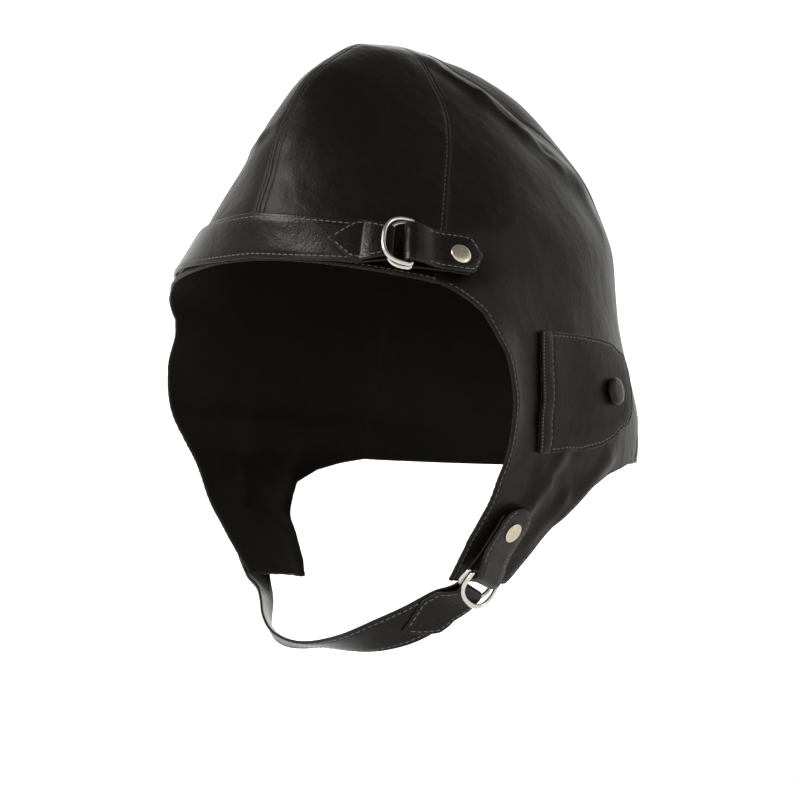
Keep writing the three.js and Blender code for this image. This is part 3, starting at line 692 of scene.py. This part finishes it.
# %% Frames along a line
def line_frame(distance, centre, across, normal):
    """Function that carries (along, across, lift) onto a line with a frame at each distance."""
    def carry(along, shift, lift):
        pick = lambda table: np.stack([np.interp(along, distance, table[:, k]) for k in range(3)], -1)
        a, n = pick(across), pick(normal)
        a /= np.linalg.norm(a, axis=-1, keepdims=True)
        n /= np.linalg.norm(n, axis=-1, keepdims=True)
        return pick(centre) + a * np.asarray(shift)[..., None] + n * np.asarray(lift)[..., None]
    return carry


def lengths(points):
    """Distance along a line of points, summed from its start."""
    return np.r_[0, np.cumsum(np.linalg.norm(np.diff(points, axis=0), axis=1))]


BAND_WIDTH, STRAP_WIDTH, THREADED_WIDTH, STRAP_THICK = 19.4, 17.5, 15.0, 1.3
BROW_LINE = np.array([
    [-62, 101.2],
    [-45, 98.4],
    [-24, 95],
    [0, 92.3],
    [24, 95.2],
    [39, 97.8],
    [54, 99.2],
    [62, 99.8],
])
angles = np.linspace(-64, 64, 129)
drops = np.interp(angles, BROW_LINE[:, 0], BROW_LINE[:, 1])
brow_distance = lengths(cap(np.radians(angles), row_at_drop(drops)))
fine_angles = np.linspace(-64, 64, 520)
fine_drops = np.interp(fine_angles, BROW_LINE[:, 0], BROW_LINE[:, 1])
turned = np.radians(fine_angles)
low, middle, high = (cap(turned, row_at_drop(fine_drops - s * BAND_WIDTH / 2)) for s in (-1, 0, 1))
brow_across = (high - low) / np.linalg.norm(high - low, axis=1, keepdims=True)
brow_normal = facing(cap, turned, row_at_drop(fine_drops))
brow_normal -= brow_across * (brow_normal * brow_across).sum(1, keepdims=True)
brow_normal /= np.linalg.norm(brow_normal, axis=1, keepdims=True)
chord = (low + high) / 2
bulge = np.maximum(0, ((middle - chord) * brow_normal).sum(1))
brow_at = np.interp(fine_angles, angles, brow_distance)
on_brow = line_frame(brow_at, chord + brow_normal * bulge[:, None], brow_across, brow_normal)
brow_bar = np.interp(38.2, angles, brow_distance)
at_brow = lambda along, across, lift: on_brow(brow_bar + np.asarray(along), across, lift)
print("brow line", brow_distance[-1].round(1), "mm")

# %% [markdown]
# The chin strap's line comes down the left flap, hangs under the chin and goes up the right flap.
# It is a smooth curve through a few points, whose spacing it respects so that it doesn't bulge,
# and a second curve through the same places gives the direction across the strap.

# %% Chin line
CHIN_LINE = np.array([
    [54.8, -15, -233.4, 0.14, 0.98, -0.1],
    [47.8, -19.6, -240, 0.26, 0.86, -0.42],
    [39.5, -27.5, -247.6, 0.25, 0.72, -0.65],
    [30, -35.3, -252.6, 0.22, 0.8, -0.56],
    [16, -42.5, -256.6, 0.1, 0.94, -0.3],
    [0, -45.5, -257.8, 0, 0.99, -0.1],
])
TAB_TOP, TAB_LOW = (195.3, -6.56, 0.3), (224.83, -11.89, 1.6)


def flap_knot(drop, y, lift):
    """Point over the flap and the direction round the cap there, a unit long."""
    row = row_at_drop(drop)
    angle = angle_at_y(row, y)
    across = cap(angle + 0.03, row) - cap(angle - 0.03, row)
    return cap(angle, row) + facing(cap, angle, row) * lift, across / np.linalg.norm(across)


def curve_through(knots, t):
    """Catmull-Rom curve at t from 0 to 1: a cubic between each two knots, with slopes by the roots of the gaps."""
    knots = np.vstack([2 * knots[0] - knots[1], knots, 2 * knots[-1] - knots[-2]])
    spans = len(knots) - 3
    i = np.minimum((np.clip(t, 0, 1) * spans).astype(int), spans - 1)
    w = (np.clip(t, 0, 1) * spans - i)[:, None]
    p = [knots[i + k] for k in range(4)]
    gaps = (np.linalg.norm(p[k + 1] - p[k], axis=1, keepdims=True) for k in range(3))
    d0, d1, d2 = (np.maximum(gap**0.5, 1e-4) for gap in gaps)
    m1 = ((p[1] - p[0]) / d0 - (p[2] - p[0]) / (d0 + d1) + (p[2] - p[1]) / d1) * d1
    m2 = ((p[2] - p[1]) / d1 - (p[3] - p[1]) / (d1 + d2) + (p[3] - p[2]) / d2) * d1
    return p[1] + m1 * w + (3 * (p[2] - p[1]) - 2 * m1 - m2) * w**2 + (2 * (p[1] - p[2]) + m1 + m2) * w**3


flap_middle = tuple((a + b) / 2 for a, b in zip(TAB_TOP, TAB_LOW))
seats = [flap_knot(*seat) for seat in (TAB_TOP, flap_middle, TAB_LOW)]
left_points = np.vstack([[p for p, _ in seats], CHIN_LINE[:, :3]])
left_across = np.vstack([[a for _, a in seats], CHIN_LINE[:, 3:]])
knots = np.vstack([left_points, left_points[-2::-1] * [-1, 1, 1]])
across_knots = np.vstack([left_across, left_across[-2::-1] * [-1, 1, 1]])
t = np.linspace(0, 1, 1201)
chin_points = curve_through(knots, t)
step = 1e-4
tangent = curve_through(knots, np.minimum(t + step, 1)) - curve_through(knots, np.maximum(t - step, 0))
tangent /= np.linalg.norm(tangent, axis=1, keepdims=True)
chin_across = curve_through(across_knots, t)
chin_across -= tangent * (chin_across * tangent).sum(1, keepdims=True)
chin_across /= np.linalg.norm(chin_across, axis=1, keepdims=True)
chin_distance = lengths(chin_points)
on_chin = line_frame(chin_distance, chin_points, chin_across, np.cross(tangent, chin_across))
RING_WIRE = 1.8
chin_bar = np.interp(2 / (len(knots) - 1), t, chin_distance) + GAP + RING_WIRE
at_chin = lambda along, across, lift: on_chin(chin_bar - np.asarray(along), across, lift)
print("chin line", chin_distance[-1].round(1), "mm")

# %% [markdown]
# A strip's section is a thin bar with rounded edges. Its two long edges are pressed down a little
# where the stitches run, and its middle is slightly full. The section is carried along the strip's
# path, and the two ends are closed with a quad fan.

# %% Strips
def smooth_stations(stations, step=0.7):
    """Path through the stations (along, lift, half width, shift), rounded by a running average."""
    stations = np.array(stations, float)
    length = np.r_[0, np.cumsum(np.hypot(np.diff(stations[:, 0]), np.diff(stations[:, 1])))]
    at = np.linspace(0, length[-1], int(length[-1] / step) + 2)
    path = np.stack([np.interp(at, length, stations[:, k]) for k in range(4)], 1)
    kernel = np.array([1, 2, 1]) / 4
    for _ in range(3):
        path[1:-1] = sum(w * path[k:len(path) - 2 + k] for k, w in enumerate(kernel))
    return path


def strip_section(count=18):
    """Loop round the bar: share of the half width, share of the thickness and inset of the rounded edge."""
    turn = np.linspace(-np.pi / 2, np.pi / 2, 7)
    wide = np.linspace(1, -1, count)[1:-1]
    side = np.r_[np.ones(7), wide, -np.ones(7), -wide]
    rise = np.r_[np.sin(turn), np.ones(count - 2), np.sin(turn[::-1]), -np.ones(count - 2)]
    inset = np.r_[np.cos(turn) - 1, np.zeros(count - 2), 1 - np.cos(turn), np.zeros(count - 2)]
    return side, rise, inset


STRAP_SWELL, STRAP_VALLEY, STRAP_ROW = 0.25, 0.17, 1.9


def strip_piece(name, place, stations, node):
    """Closed strip: the section is scaled by the half width, turned with the path's slope and carried onto the line."""
    path, thick = smooth_stations(stations), STRAP_THICK
    slope = np.gradient(path[:, :2], axis=0)
    slope /= np.maximum(np.linalg.norm(slope, axis=1, keepdims=True), 1e-9)
    side, rise, inset = strip_section()
    half = path[:, 2:3]
    round_part = inset + np.sign(side) * (np.abs(side) == 1)
    across = side * np.maximum(half - thick / 2, 0.05) + round_part * thick / 2
    from_edge = half - np.abs(across)
    valley = STRAP_VALLEY * np.exp(-((from_edge - STRAP_ROW) / 0.4)**2) * (half > 3)
    swell = STRAP_SWELL * smooth(from_edge / 4) - valley
    lift = rise * (thick / 2 + np.where(rise > 0.99, swell, 0))
    along = path[:, 0:1] - slope[:, 1:2] * lift
    up = path[:, 1:2] + slope[:, 0:1] * lift
    points = place(along, path[:, 3:4] + across, up)
    rows, cols = across.shape
    faces = grid_faces(rows, cols, close_cols=True)
    centres = points[[0, -1]].mean(1)
    ring = np.arange(cols)
    after, last_row = np.roll(ring, -1), (rows - 1) * cols
    caps = np.concatenate([np.stack([ring, after, np.full(cols, rows * cols)], 1),
                           np.stack([after + last_row, ring + last_row, np.full(cols, rows * cols + 1)], 1)])
    points = np.vstack([points.reshape(-1, 3), centres])
    edge = np.r_[np.exp(-(from_edge / 0.9)**2).ravel(), 1, 1]
    turned = signed_volume(points, faces) < 0
    all_faces = [f[::-1] if turned else f for f in faces.tolist() + caps.tolist()]
    add_piece(name, points, all_faces, [STRAP], (node,), {"edge": edge})
    return path


def signed_volume(points, quads):
    """Volume, times a constant, that is above 0 when the quads face outwards."""
    a, b, c, d = (points[quads[:, k]] for k in range(4))
    return (np.cross(b, c) * a).sum() + (np.cross(c, d) * a).sum()


STITCH_LIFT = 0.08


def strip_rows(place, path, start, end, from_edge):
    """Stitch paths a set distance inside both long edges; distances below 0 count from the path's end."""
    length = np.r_[0, np.cumsum(np.hypot(np.diff(path[:, 0]), np.diff(path[:, 1])))]
    start = start if start >= 0 else length[-1] + start
    part = path[(length >= start) & (length <= (end if end > 0 else length[-1] + end))]
    rows = []
    for side in (-1, 1):
        across = part[:, 3] + side * np.maximum(part[:, 2] - from_edge, 0)
        top = place(part[:, 0], across, part[:, 1] + STRAP_THICK / 2 + STITCH_LIFT)
        below = place(part[:, 0], across, part[:, 1])
        normal = top - below
        rows.append((top, normal / np.linalg.norm(normal, axis=1, keepdims=True)))
    return rows


# %% [markdown]
# The layers of a fastening lie on each other: the strap under the rings, the inner ring, the strap
# again, and the tab that is folded round both bars. Their lifts are added up from the wire and the
# leather, as in the plain model, so nothing cuts into its neighbour.

# %% Layers of a fastening
STAND_OFF, RING_TALL, RING_DEEP, RING_STEP, RING_CORNER, RING_SQUARENESS = 0.8, 24.0, 12.5, 1.6, 1.5, 2.6
UNDER = STAND_OFF + STRAP_THICK / 2
INNER_RING = STAND_OFF + STRAP_THICK + GAP + RING_WIRE / 2
OUTER_BAR = INNER_RING + RING_WIRE + GAP
OVER = UNDER + STRAP_THICK + GAP
WRAP = RING_WIRE / 2 + GAP + STRAP_THICK / 2
BACK_LAYER = INNER_RING + WRAP
OUTER_BOW = BACK_LAYER + WRAP + 2 * GAP
LOOP_TOP = OUTER_BAR + WRAP
print("layers at", [round(lift, 2) for lift in (UNDER, INNER_RING, OVER, OUTER_BAR, BACK_LAYER, LOOP_TOP, OUTER_BOW)])


def half_turn(along, lift, radius, side, half):
    """Stations on a half circle about (along, lift), open to one side."""
    turn = np.radians(np.linspace(-80, 80, 17))
    return [(along + side * radius * math.cos(a), lift + radius * math.sin(a), half, 0) for a in turn]


def tab_stations(length, width, end):
    """Tab: out under the rings, half a circle round both bars and back above, down to its shaped end."""
    half, centre, radius = width / 2, (UNDER + LOOP_TOP) / 2, (LOOP_TOP - UNDER) / 2
    under = [(x, UNDER, half, 0) for x in np.linspace(length - 6, 0, 12)]
    over = [(0, LOOP_TOP, half, 0), (4, LOOP_TOP - 1.4, half, 0), (8, OVER + 0.9, half, 0), (12, OVER, half, 0)]
    tip = [(length - back, OVER, half * slim, 0) for back, slim in end]
    return under + half_turn(0, centre, radius, -1, half) + over + tip


def threaded_stations(lower, tail, droop, width):
    """Strap: along the leather, through both rings, round the inner bow and back as a tail that tapers to a point."""
    reach = RING_DEEP - RING_STEP - RING_WIRE / 2 - RING_CORNER
    share = (THREADED_WIDTH / 2) / ((RING_TALL - RING_WIRE) / 2)
    fold = -(RING_CORNER + reach * (1 - share**RING_SQUARENESS)**(1 / RING_SQUARENESS))
    half = THREADED_WIDTH / 2
    widen = lambda x: half + ((width - THREADED_WIDTH) / 2) * min(1, (fold - x) / 10)
    start = [(x, UNDER, widen(x), 0) for x in lower] + [(fold, UNDER, half, 0)]
    way_back = ((fold, BACK_LAYER), (-RING_DEEP, BACK_LAYER), (-RING_DEEP - 4, BACK_LAYER - 0.8),
                (-RING_DEEP - 8, OVER))
    back = [(x, lift, widen(x), 0) for x, lift in way_back]
    rest = [(-tail * share, OVER, slim * width / 2, droop * min(1, share * 1.2))
            for share, slim in ((0.55, 1), (0.68, 1), (0.84, 0.56), (1, 0.06))]
    return start + half_turn(fold, INNER_RING, WRAP, 1, half) + back + rest


ARROW_END = [(8, 1), (4, 0.95), (0, 0.12)]
turns = np.radians(np.linspace(0, 88, 12))
ROUND_END = [(9 * (1 - math.sin(a)), max(math.cos(a), 0.12)) for a in turns]
BROW_TAB, BROW_RIVET, CHIN_TAB, CHIN_RIVET = 30.0, 20.0, 33.0, 22.0
far_end = np.interp(-60, angles, brow_distance) - brow_bar

# %% [markdown]
# The band and the strap each start at a sewn end and run to the rings. Each tab goes out under the
# rings and back over them. All four are made by the same strip function from their stations.

# %% Band, strap and tabs
BROW_TAIL, CHIN_TAIL, CHIN_TAIL_DROOP, SEWN_END = 33.5, 41.0, 1.0, 9.0
strap_start = chin_bar - (chin_distance[-1] - SEWN_END)
band_run = np.linspace(far_end, -RING_DEEP - 4, 60)
strap_run = np.linspace(strap_start, -RING_DEEP - 4, 80)
band_path = strip_piece("brow_band_leather", at_brow,
                        threaded_stations(band_run, BROW_TAIL, 0, BAND_WIDTH), "brow_band")
strap_path = strip_piece("chin_strap_leather", at_chin,
                         threaded_stations(strap_run, CHIN_TAIL, CHIN_TAIL_DROOP, STRAP_WIDTH), "chin_strap")
brow_tab_path = strip_piece("brow_tab_leather", at_brow,
                            tab_stations(BROW_TAB, BAND_WIDTH, ARROW_END), "brow_tab")
chin_tab_path = strip_piece("chin_tab_leather", at_chin,
                            tab_stations(CHIN_TAB, BAND_WIDTH, ROUND_END), "chin_tab")

# %% [markdown]
# ## Rings, rivets and snaps
# A D-ring is a round wire bent into a bow and a straight bar: its centre line is a superellipse that
# is squarer on the bar's side, and a circle is carried round it. Rivets and snaps are turned
# shapes: a profile of radius and height that goes once round.

# %% D-rings
def ring_piece(name, place, deep, bar_lift, bow_lift, node, around=120, sides=16):
    """Wire along |along / reach|^n + |across / tall|^n = 1, with a shallow half on the bar's side."""
    tall, reach = (RING_TALL - RING_WIRE) / 2, deep - RING_WIRE / 2
    turn = np.linspace(0, 2 * np.pi, around, endpoint=False)
    c, s = np.cos(turn), np.sin(turn)
    power = np.where(c > 0, 1 / RING_SQUARENESS, 2 / RING_SQUARENESS)
    part = lambda x: np.sign(x) * np.abs(x)**power
    along = np.where(c > 0, RING_CORNER, reach - RING_CORNER) * part(c) - RING_CORNER
    centre = np.stack([along, tall * part(s), bar_lift + (bow_lift - bar_lift) * -along / reach], 1)
    centre = centre[np.r_[True, np.linalg.norm(np.diff(centre, axis=0), axis=1) > 0.05]]
    tangent = np.roll(centre, -1, 0) - np.roll(centre, 1, 0)
    tangent /= np.linalg.norm(tangent, axis=1, keepdims=True)
    lifted = np.array([0, 0, 1.0]) - tangent * tangent[:, 2:]
    lifted /= np.linalg.norm(lifted, axis=1, keepdims=True)
    aside = np.cross(tangent, lifted)
    wire = np.linspace(0, 2 * np.pi, sides, endpoint=False)
    circle = np.cos(wire)[:, None] * lifted[:, None] + np.sin(wire)[:, None] * aside[:, None]
    flat = centre[:, None] + RING_WIRE / 2 * circle
    points = place(flat[..., 0], flat[..., 1], flat[..., 2]).reshape(-1, 3)
    faces = grid_faces(len(centre), sides, True, True)
    if signed_volume(points, faces) < 0:
        faces = faces[:, ::-1]
    add_piece(name, points, faces, [NICKEL], (node,))


for fastening, place in (("brow", at_brow), ("chin", at_chin)):
    ring_piece(fastening + "_outer_wire", place, RING_DEEP, OUTER_BAR, OUTER_BOW, fastening + "_ring_outer")
    ring_piece(fastening + "_inner_wire", place, RING_DEEP - RING_STEP, INNER_RING, INNER_RING,
               fastening + "_ring_inner")


# %% [markdown]
# A rivet is a shallow dome with a rolled rim. A turned profile is enough for it, because it has no
# mark or slot that would show where it starts.

# %% Rivets
def turned_piece(name, place, base, profile, material, node, mirror=False, sides=48):
    """Profile of (radius, height) pairs turned about the normal of a surface at (0, 0)."""
    place_at = lambda *at: place(*[np.array(float(v)) for v in at])
    centre = place_at(0, 0, base)
    normal = place_at(0, 0, base + 1) - centre
    normal /= np.linalg.norm(normal)
    aside = np.cross(place_at(1, 0, base) - centre, normal)
    aside /= np.linalg.norm(aside)
    ahead = np.cross(normal, aside)
    profile = np.array(profile, float)
    turn = np.linspace(0, 2 * np.pi, sides, endpoint=False)
    points = (centre + profile[:, 1, None, None] * normal + profile[:, 0, None, None]
              * (np.cos(turn)[:, None] * ahead + np.sin(turn)[:, None] * aside)).reshape(-1, 3)
    faces = grid_faces(len(profile), sides, close_cols=True)
    if signed_volume(points, faces) < 0:
        faces = faces[:, ::-1]
    if mirror:
        points, faces = points * [-1, 1, 1], faces[:, ::-1]
    edge = np.repeat(np.exp(-((profile[:, 0] - profile[:, 0].max()) / 0.8)**2), sides)
    add_piece(name, points, faces, [material], (node,), {"edge": edge})


RIVET_PROFILE = [(0.01, 0), (3.9, 0), (4.4, 0.12), (4.5, 0.4), (4.42, 0.7), (4.2, 0.92), (3.7, 1.08),
                 (2.6, 1.2), (1.4, 1.27), (0.5, 1.3), (0.01, 1.3)]
rivet_base = OVER + STRAP_THICK / 2 + 0.12
seat = lambda place, rivet, drop: lambda x, y, lift: place(rivet + x, y - drop, lift)
turned_piece("brow_rivet_cap", seat(at_brow, BROW_RIVET, 1.4), rivet_base, RIVET_PROFILE, RIVET,
             "brow_rivet")
turned_piece("chin_rivet_cap", seat(at_chin, CHIN_RIVET, 0), rivet_base, RIVET_PROFILE, RIVET,
             "chin_rivet")

# %% [markdown]
# ## Ear pockets
# Each pocket is a flat leather piece that is sewn down at its front edge and stands off behind,
# where a covered snap holds it. Its front edge is turned under, which shows as a full border with a
# row of stitches on each side.

# %% Ear pockets
POCKET = np.array([
    [-10.5, 126.7, 177.6],
    [-5, 126.6, 177.2],
    [6, 126.4, 176.4],
    [19, 126.4, 175.2],
    [32, 126.8, 172.6],
    [42, 128, 169],
    [49, 131.5, 163.5],
    [54, 138, 156.5],
    [56, 143.5, 151],
])
POCKET_THICK, POCKET_LIFT = 1.8, 2.8
POCKET_ROUND, FIRST_ROW, SECOND_ROW, POCKET_ROW = 0.85, 0.85, 7.2, 1.6
FRONT_BOW = 3.0


def pocket_lift(y):
    """Clearance plus a lift that grows with the square of the share of the way to the rear."""
    share = (y - POCKET[0, 0]) / (POCKET[-1, 0] - POCKET[0, 0])
    return GAP + POCKET_LIFT * share**2


def on_side(y, drop, lift):
    """Point on the cap's side at y and a drop, moved out along the normal by the lift."""
    row = row_at_drop(drop)
    angle = angle_at_y(row, y)
    return cap(angle, row) + facing(cap, angle, row) * np.asarray(lift)[..., None]


def ear_pocket(side_name, mirror):
    """Pocket over a grid of y and drop, rounded at its edge and sunk along its stitches."""
    share, t = np.meshgrid(near_ends(96), near_ends(80))
    y = POCKET[0, 0] + share * (POCKET[-1, 0] - POCKET[0, 0])
    top, bottom = (rounded_edge(y, k) for k in (1, 2))
    drop = top + (bottom - top) * t
    y = y - FRONT_BOW * np.sin(np.pi * t) * (1 - share)**2
    outline = np.stack([np.r_[y[0], y[:, -1], y[-1, ::-1], y[::-1, 0]],
                        np.r_[drop[0], drop[:, -1], drop[-1, ::-1], drop[::-1, 0]], np.zeros(2 * sum(y.shape))], 1)
    away = distance_to(np.stack([y, drop, np.zeros(y.shape)], -1), fine(outline, 0.5))
    sink = rounded(away, POCKET_ROUND)
    front = share * (POCKET[-1, 0] - POCKET[0, 0])
    swell = 0.35 * smooth(away / 8) + 0.22 * np.exp(-((front - 3.2) / 2.4)**2)
    swell += 0.25 * waves(np.stack([y, drop, 0 * y], -1), 26, 4, 8) * smooth(away / 9)
    swell -= 0.25 * np.exp(-((away - POCKET_ROW) / 0.45)**2) * (front > 8)
    swell -= 0.3 * np.exp(-((front - SECOND_ROW) / 0.6)**2)
    base = pocket_lift(y)
    outside = on_side(y, drop, base + POCKET_THICK + swell - sink)
    inside = on_side(y, drop, base + np.minimum(sink, 0.8))
    rows, cols = y.shape
    outer_faces = grid_faces(rows, cols)
    rim = np.concatenate([np.arange(cols), np.arange(1, rows) * cols + cols - 1,
                          (rows - 1) * cols + np.arange(cols - 2, -1, -1), np.arange(rows - 2, 0, -1) * cols])
    after = np.roll(rim, -1)
    faces = np.concatenate([outer_faces[:, ::-1], outer_faces + rows * cols,
                            np.stack([rim, after, after + rows * cols, rim + rows * cols], 1)])
    points = np.concatenate([outside.reshape(-1, 3), inside.reshape(-1, 3)])
    side = np.array([-1, 1, 1]) if mirror else np.array([1, 1, 1])
    if (signed_volume(points, faces) < 0) != mirror:
        faces = faces[:, ::-1]
    edge = np.exp(-(away / 1.4)**2)
    add_piece("ear_pocket_" + side_name + "_leather", points * side, faces, [HIDE],
              ("ear_pocket_" + side_name,), {"edge": np.r_[edge.ravel(), edge.ravel()]})
    rows_found = stitch_rows.setdefault(("ear_pocket_" + side_name, "hem"), [])
    normal = facing(cap, angle_at_y(row_at_drop(drop), y), row_at_drop(drop))
    close_rows = stitch_rows.setdefault(("ear_pocket_" + side_name, "close"), [])
    for distance, rows_of in ((FIRST_ROW, close_rows), (SECOND_ROW, rows_found)):
        k = np.argmin(np.abs(front[0] - distance))
        rows_of.append(((outside[4:-4, k] - normal[4:-4, k] * 0.05) * side, normal[4:-4, k] * side))
    j = np.nonzero(front[0] > 8)[0]
    for way in (1, -1):
        near = away[::way]
        i = np.argmax(near[:, j] > POCKET_ROW, axis=0)
        ok = near[i, j] > POCKET_ROW
        rows_found.append((outside[::way][i[ok], j[ok]] * side, normal[::way][i[ok], j[ok]] * side))


def rounded_edge(y, k):
    """Upper (1) or lower (2) edge of the pocket at y, straight in front and an ellipse at the rear end."""
    return np.interp(y, *pocket_outline(k))


def pocket_outline(k):
    """The outline's table with its last stretch bent as a quarter ellipse."""
    y = np.r_[POCKET[:-3, 0], 49 + 7 * np.sin(np.linspace(0, np.pi / 2, 30))]
    start, end = POCKET[-3, k], POCKET[-1, k]
    bend = np.linspace(0, np.pi / 2, 30)
    return y, np.r_[POCKET[:-3, k], start + (end - start) * (1 - np.cos(bend))]


for side_name, mirror in (("left", False), ("right", True)):
    ear_pocket(side_name, mirror)

# %% [markdown]
# A covered snap is a domed button with leather drawn over it, so it takes the strap's leather and a
# fuller profile than the rivet. It sits near the pocket's rear end, which it holds closed.

# %% Pocket snaps
SNAP_Y, SNAP_DROP = 0.183 * 205, 0.643 * 232.5
snap_base = pocket_lift(SNAP_Y + 6) + POCKET_THICK + 0.35
SNAP_PROFILE = [(0.01, 0), (5.5, 0), (5.9, 0.2), (6.05, 0.6), (6.0, 1.2), (5.8, 1.75), (5.45, 2.2),
                (4.9, 2.52), (4.2, 2.7), (3.2, 2.82), (2.0, 2.93), (0.9, 2.99), (0.01, 3.0)]
at_snap = lambda along, down, lift: on_side(SNAP_Y + along, SNAP_DROP + down, lift)
for side_name, mirror in (("left", False), ("right", True)):
    turned_piece("pocket_snap_" + side_name + "_cover", at_snap, snap_base, SNAP_PROFILE, STRAP,
                 "pocket_snap_" + side_name, mirror)

# %% [markdown]
# ## Stitches
# Each stitch is a short length of thread that comes up, lies on the leather and goes down again. It
# is a small tapered tube, bent like a bow, repeated at equal steps along the stitch rows that the
# pieces gave. All stitches of a piece are one mesh, placed by array arithmetic.

# %% Stitches
PITCH, CLOSE_PITCH = 2.7, 1.5


def stitch_mesh(name, rows, pitch=PITCH, size=0.22, yarn=SHEEN_PAINTED_THREAD):
    """Copies of one bent tube along each row: x follows the row, z its normal."""
    x = np.linspace(-1, 1, 6)
    thick = np.sqrt(np.maximum(1 - x**4 * 0.8, 0.05))
    turn = np.linspace(0, 2 * np.pi, 6, endpoint=False)
    tube = np.stack([np.repeat(x * pitch * 0.37, 6), (thick[:, None] * np.cos(turn) * size).ravel(),
                     (thick[:, None] * np.sin(turn) * size - (0.42 * x**4)[:, None] * size * 2).ravel()], 1)
    quads = grid_faces(6, 6, close_cols=True)
    ends = np.array([[5, 4, 3, 2], [5, 2, 1, 0], [30, 31, 32, 33], [30, 33, 34, 35]])
    shape = np.concatenate([quads, ends])
    points, count = [], 0
    for line, normal in rows:
        length = lengths(line)
        if length[-1] < 2 * pitch:
            continue
        at = np.arange(pitch / 2, length[-1] - pitch / 2, pitch)
        pick = lambda table, where: np.stack([np.interp(where, length, table[:, k]) for k in range(3)], 1)
        centre, n = pick(line, at), pick(normal, at)
        ahead = pick(line, at + 0.8) - pick(line, at - 0.8)
        ahead /= np.maximum(np.linalg.norm(ahead, axis=1, keepdims=True), 1e-9)
        n -= ahead * (n * ahead).sum(1, keepdims=True)
        n /= np.maximum(np.linalg.norm(n, axis=1, keepdims=True), 1e-9)
        aside = np.cross(n, ahead)
        points.append(centre[:, None] + tube[None, :, :1] * ahead[:, None]
                      + tube[None, :, 1:2] * aside[:, None] + tube[None, :, 2:] * n[:, None])
        count += len(at)
    points = np.concatenate(points)
    faces = (shape[None] + 36 * np.arange(count)[:, None, None]).reshape(-1, 4)
    if signed_volume(points[0], shape) < 0:
        faces = faces[:, ::-1]
    add_piece(name, points, faces, [yarn])
    print(count, "stitches in", name)


# Sewn seams take the black thread. Hems, straps, tabs and the pocket's close row take the grey copy, which is a painted
# highlight.
for owner in sorted(stitch_rows):
    piece, kind = owner
    stitch_mesh(piece + "_" + kind + "_stitches", stitch_rows[owner], CLOSE_PITCH if kind == "close" else PITCH,
                yarn=THREAD if kind == "sewn" else SHEEN_PAINTED_THREAD)
TAIL_ROW = 1.7
band_rows = strip_rows(at_brow, band_path, 3, -46, STRAP_ROW) + strip_rows(at_brow, band_path, -24, -1, TAIL_ROW)
stitch_mesh("brow_band_stitches", band_rows)
strap_rows = strip_rows(at_chin, strap_path, 3, -56, STRAP_ROW) + strip_rows(at_chin, strap_path, -30, -1, TAIL_ROW)
stitch_mesh("chin_strap_stitches", strap_rows)
tab_start = BROW_TAB - 6 + math.pi * (LOOP_TOP - UNDER) / 2 + 6
stitch_mesh("brow_tab_stitches", strip_rows(at_brow, brow_tab_path, tab_start, -1, 1.8))
tab_start = CHIN_TAB - 6 + math.pi * (LOOP_TOP - UNDER) / 2 + 6
stitch_mesh("chin_tab_stitches", strip_rows(at_chin, chin_tab_path, tab_start, -1, 1.8))

# %% [markdown]
# ## Floor and light
# The cap hangs where a head would hold it, above a plain pale floor that curves up far away on all
# sides, so that there is no horizon. A large soft light from the front models the folds, a weak
# strip light draws the gloss on the near side, another rims the back, and a fourth light washes
# the backdrop behind the cap so that its outline stays clear. Dim surroundings keep black leather
# black, because most of what it shows is reflection.

# %% Floor
def backdrop():
    """Round floor whose rim rises like a bowl: radius and height of a profile turned once round."""
    bend = np.linspace(0.1, np.pi / 2, 16)
    radius = np.r_[np.linspace(0.001, 2.4, 12), 2.4 + 2 * np.sin(bend), 4.4]
    height = np.r_[np.zeros(12), 2 * (1 - np.cos(bend)), 4.5] - 0.32
    turn = np.linspace(0, 2 * np.pi, 96, endpoint=False)
    x, y = radius[:, None] * np.cos(turn), radius[:, None] * np.sin(turn)
    points = np.stack([x, y, height[:, None] + 0 * turn], -1)
    mesh = bpy.data.meshes.new("backdrop")
    faces = grid_faces(len(radius), len(turn), close_cols=True)
    mesh.from_pydata(points.reshape(-1, 3).tolist(), [], faces.tolist())
    mesh.shade_smooth()
    floor = bpy.data.objects.new("backdrop", mesh)
    material, _, shader, _ = new_material("pale_floor")
    shader.inputs["Base Color"].default_value = (0.82, 0.82, 0.81, 1)
    shader.inputs["Roughness"].default_value = 0.8
    shader.inputs["Emission Color"].default_value = (1, 1, 0.99, 1)
    shader.inputs["Emission Strength"].default_value = 0.28
    mesh.materials.append(material)
    bpy.context.scene.collection.objects.link(floor)


backdrop()


# %% [markdown]
# The lights are rectangles, like softboxes, because their shape shows in the gloss of the leather
# and the metal. None of them shows in the picture: three stand outside it, and the backdrop's light
# turns its back to the camera, and a rectangular light is invisible from behind.

# %% Lights
def area_light(name, place, target, size, power):
    """Rectangular light of a width and height in metres and a power in watts, turned so that it faces its target."""
    data = bpy.data.lights.new(name, "AREA")
    data.shape, data.size, data.size_y, data.energy = "RECTANGLE", *size, power
    light = bpy.data.objects.new(name, data)
    light.location = place
    light.rotation_euler = (Vector(target) - Vector(place)).to_track_quat("-Z", "Y").to_euler()
    bpy.context.scene.collection.objects.link(light)


MIDDLE = (0, 0, -0.12)
area_light("soft_key", (-0.7, -1.6, 1.3), MIDDLE, (0.9, 0.9), 40)
area_light("side_strip", (2.0, 0.5, 0.5), MIDDLE, (0.4, 1.4), 5)
area_light("back_strip", (-1.2, 1.4, 0.9), MIDDLE, (0.6, 1.4), 8)
area_light("backdrop_wash", (-0.75, 0.95, 0.5), (-2.9, 3.6, 0.1), (1.2, 1.2), 75)
world = bpy.data.worlds.new("pale_sky")
world.use_nodes = True
world.node_tree.nodes["Background"].inputs["Color"].default_value = (1, 1, 0.99, 1)
world.node_tree.nodes["Background"].inputs["Strength"].default_value = 0.25
bpy.context.scene.world = world
bpy.context.scene.view_settings.view_transform = "Standard"
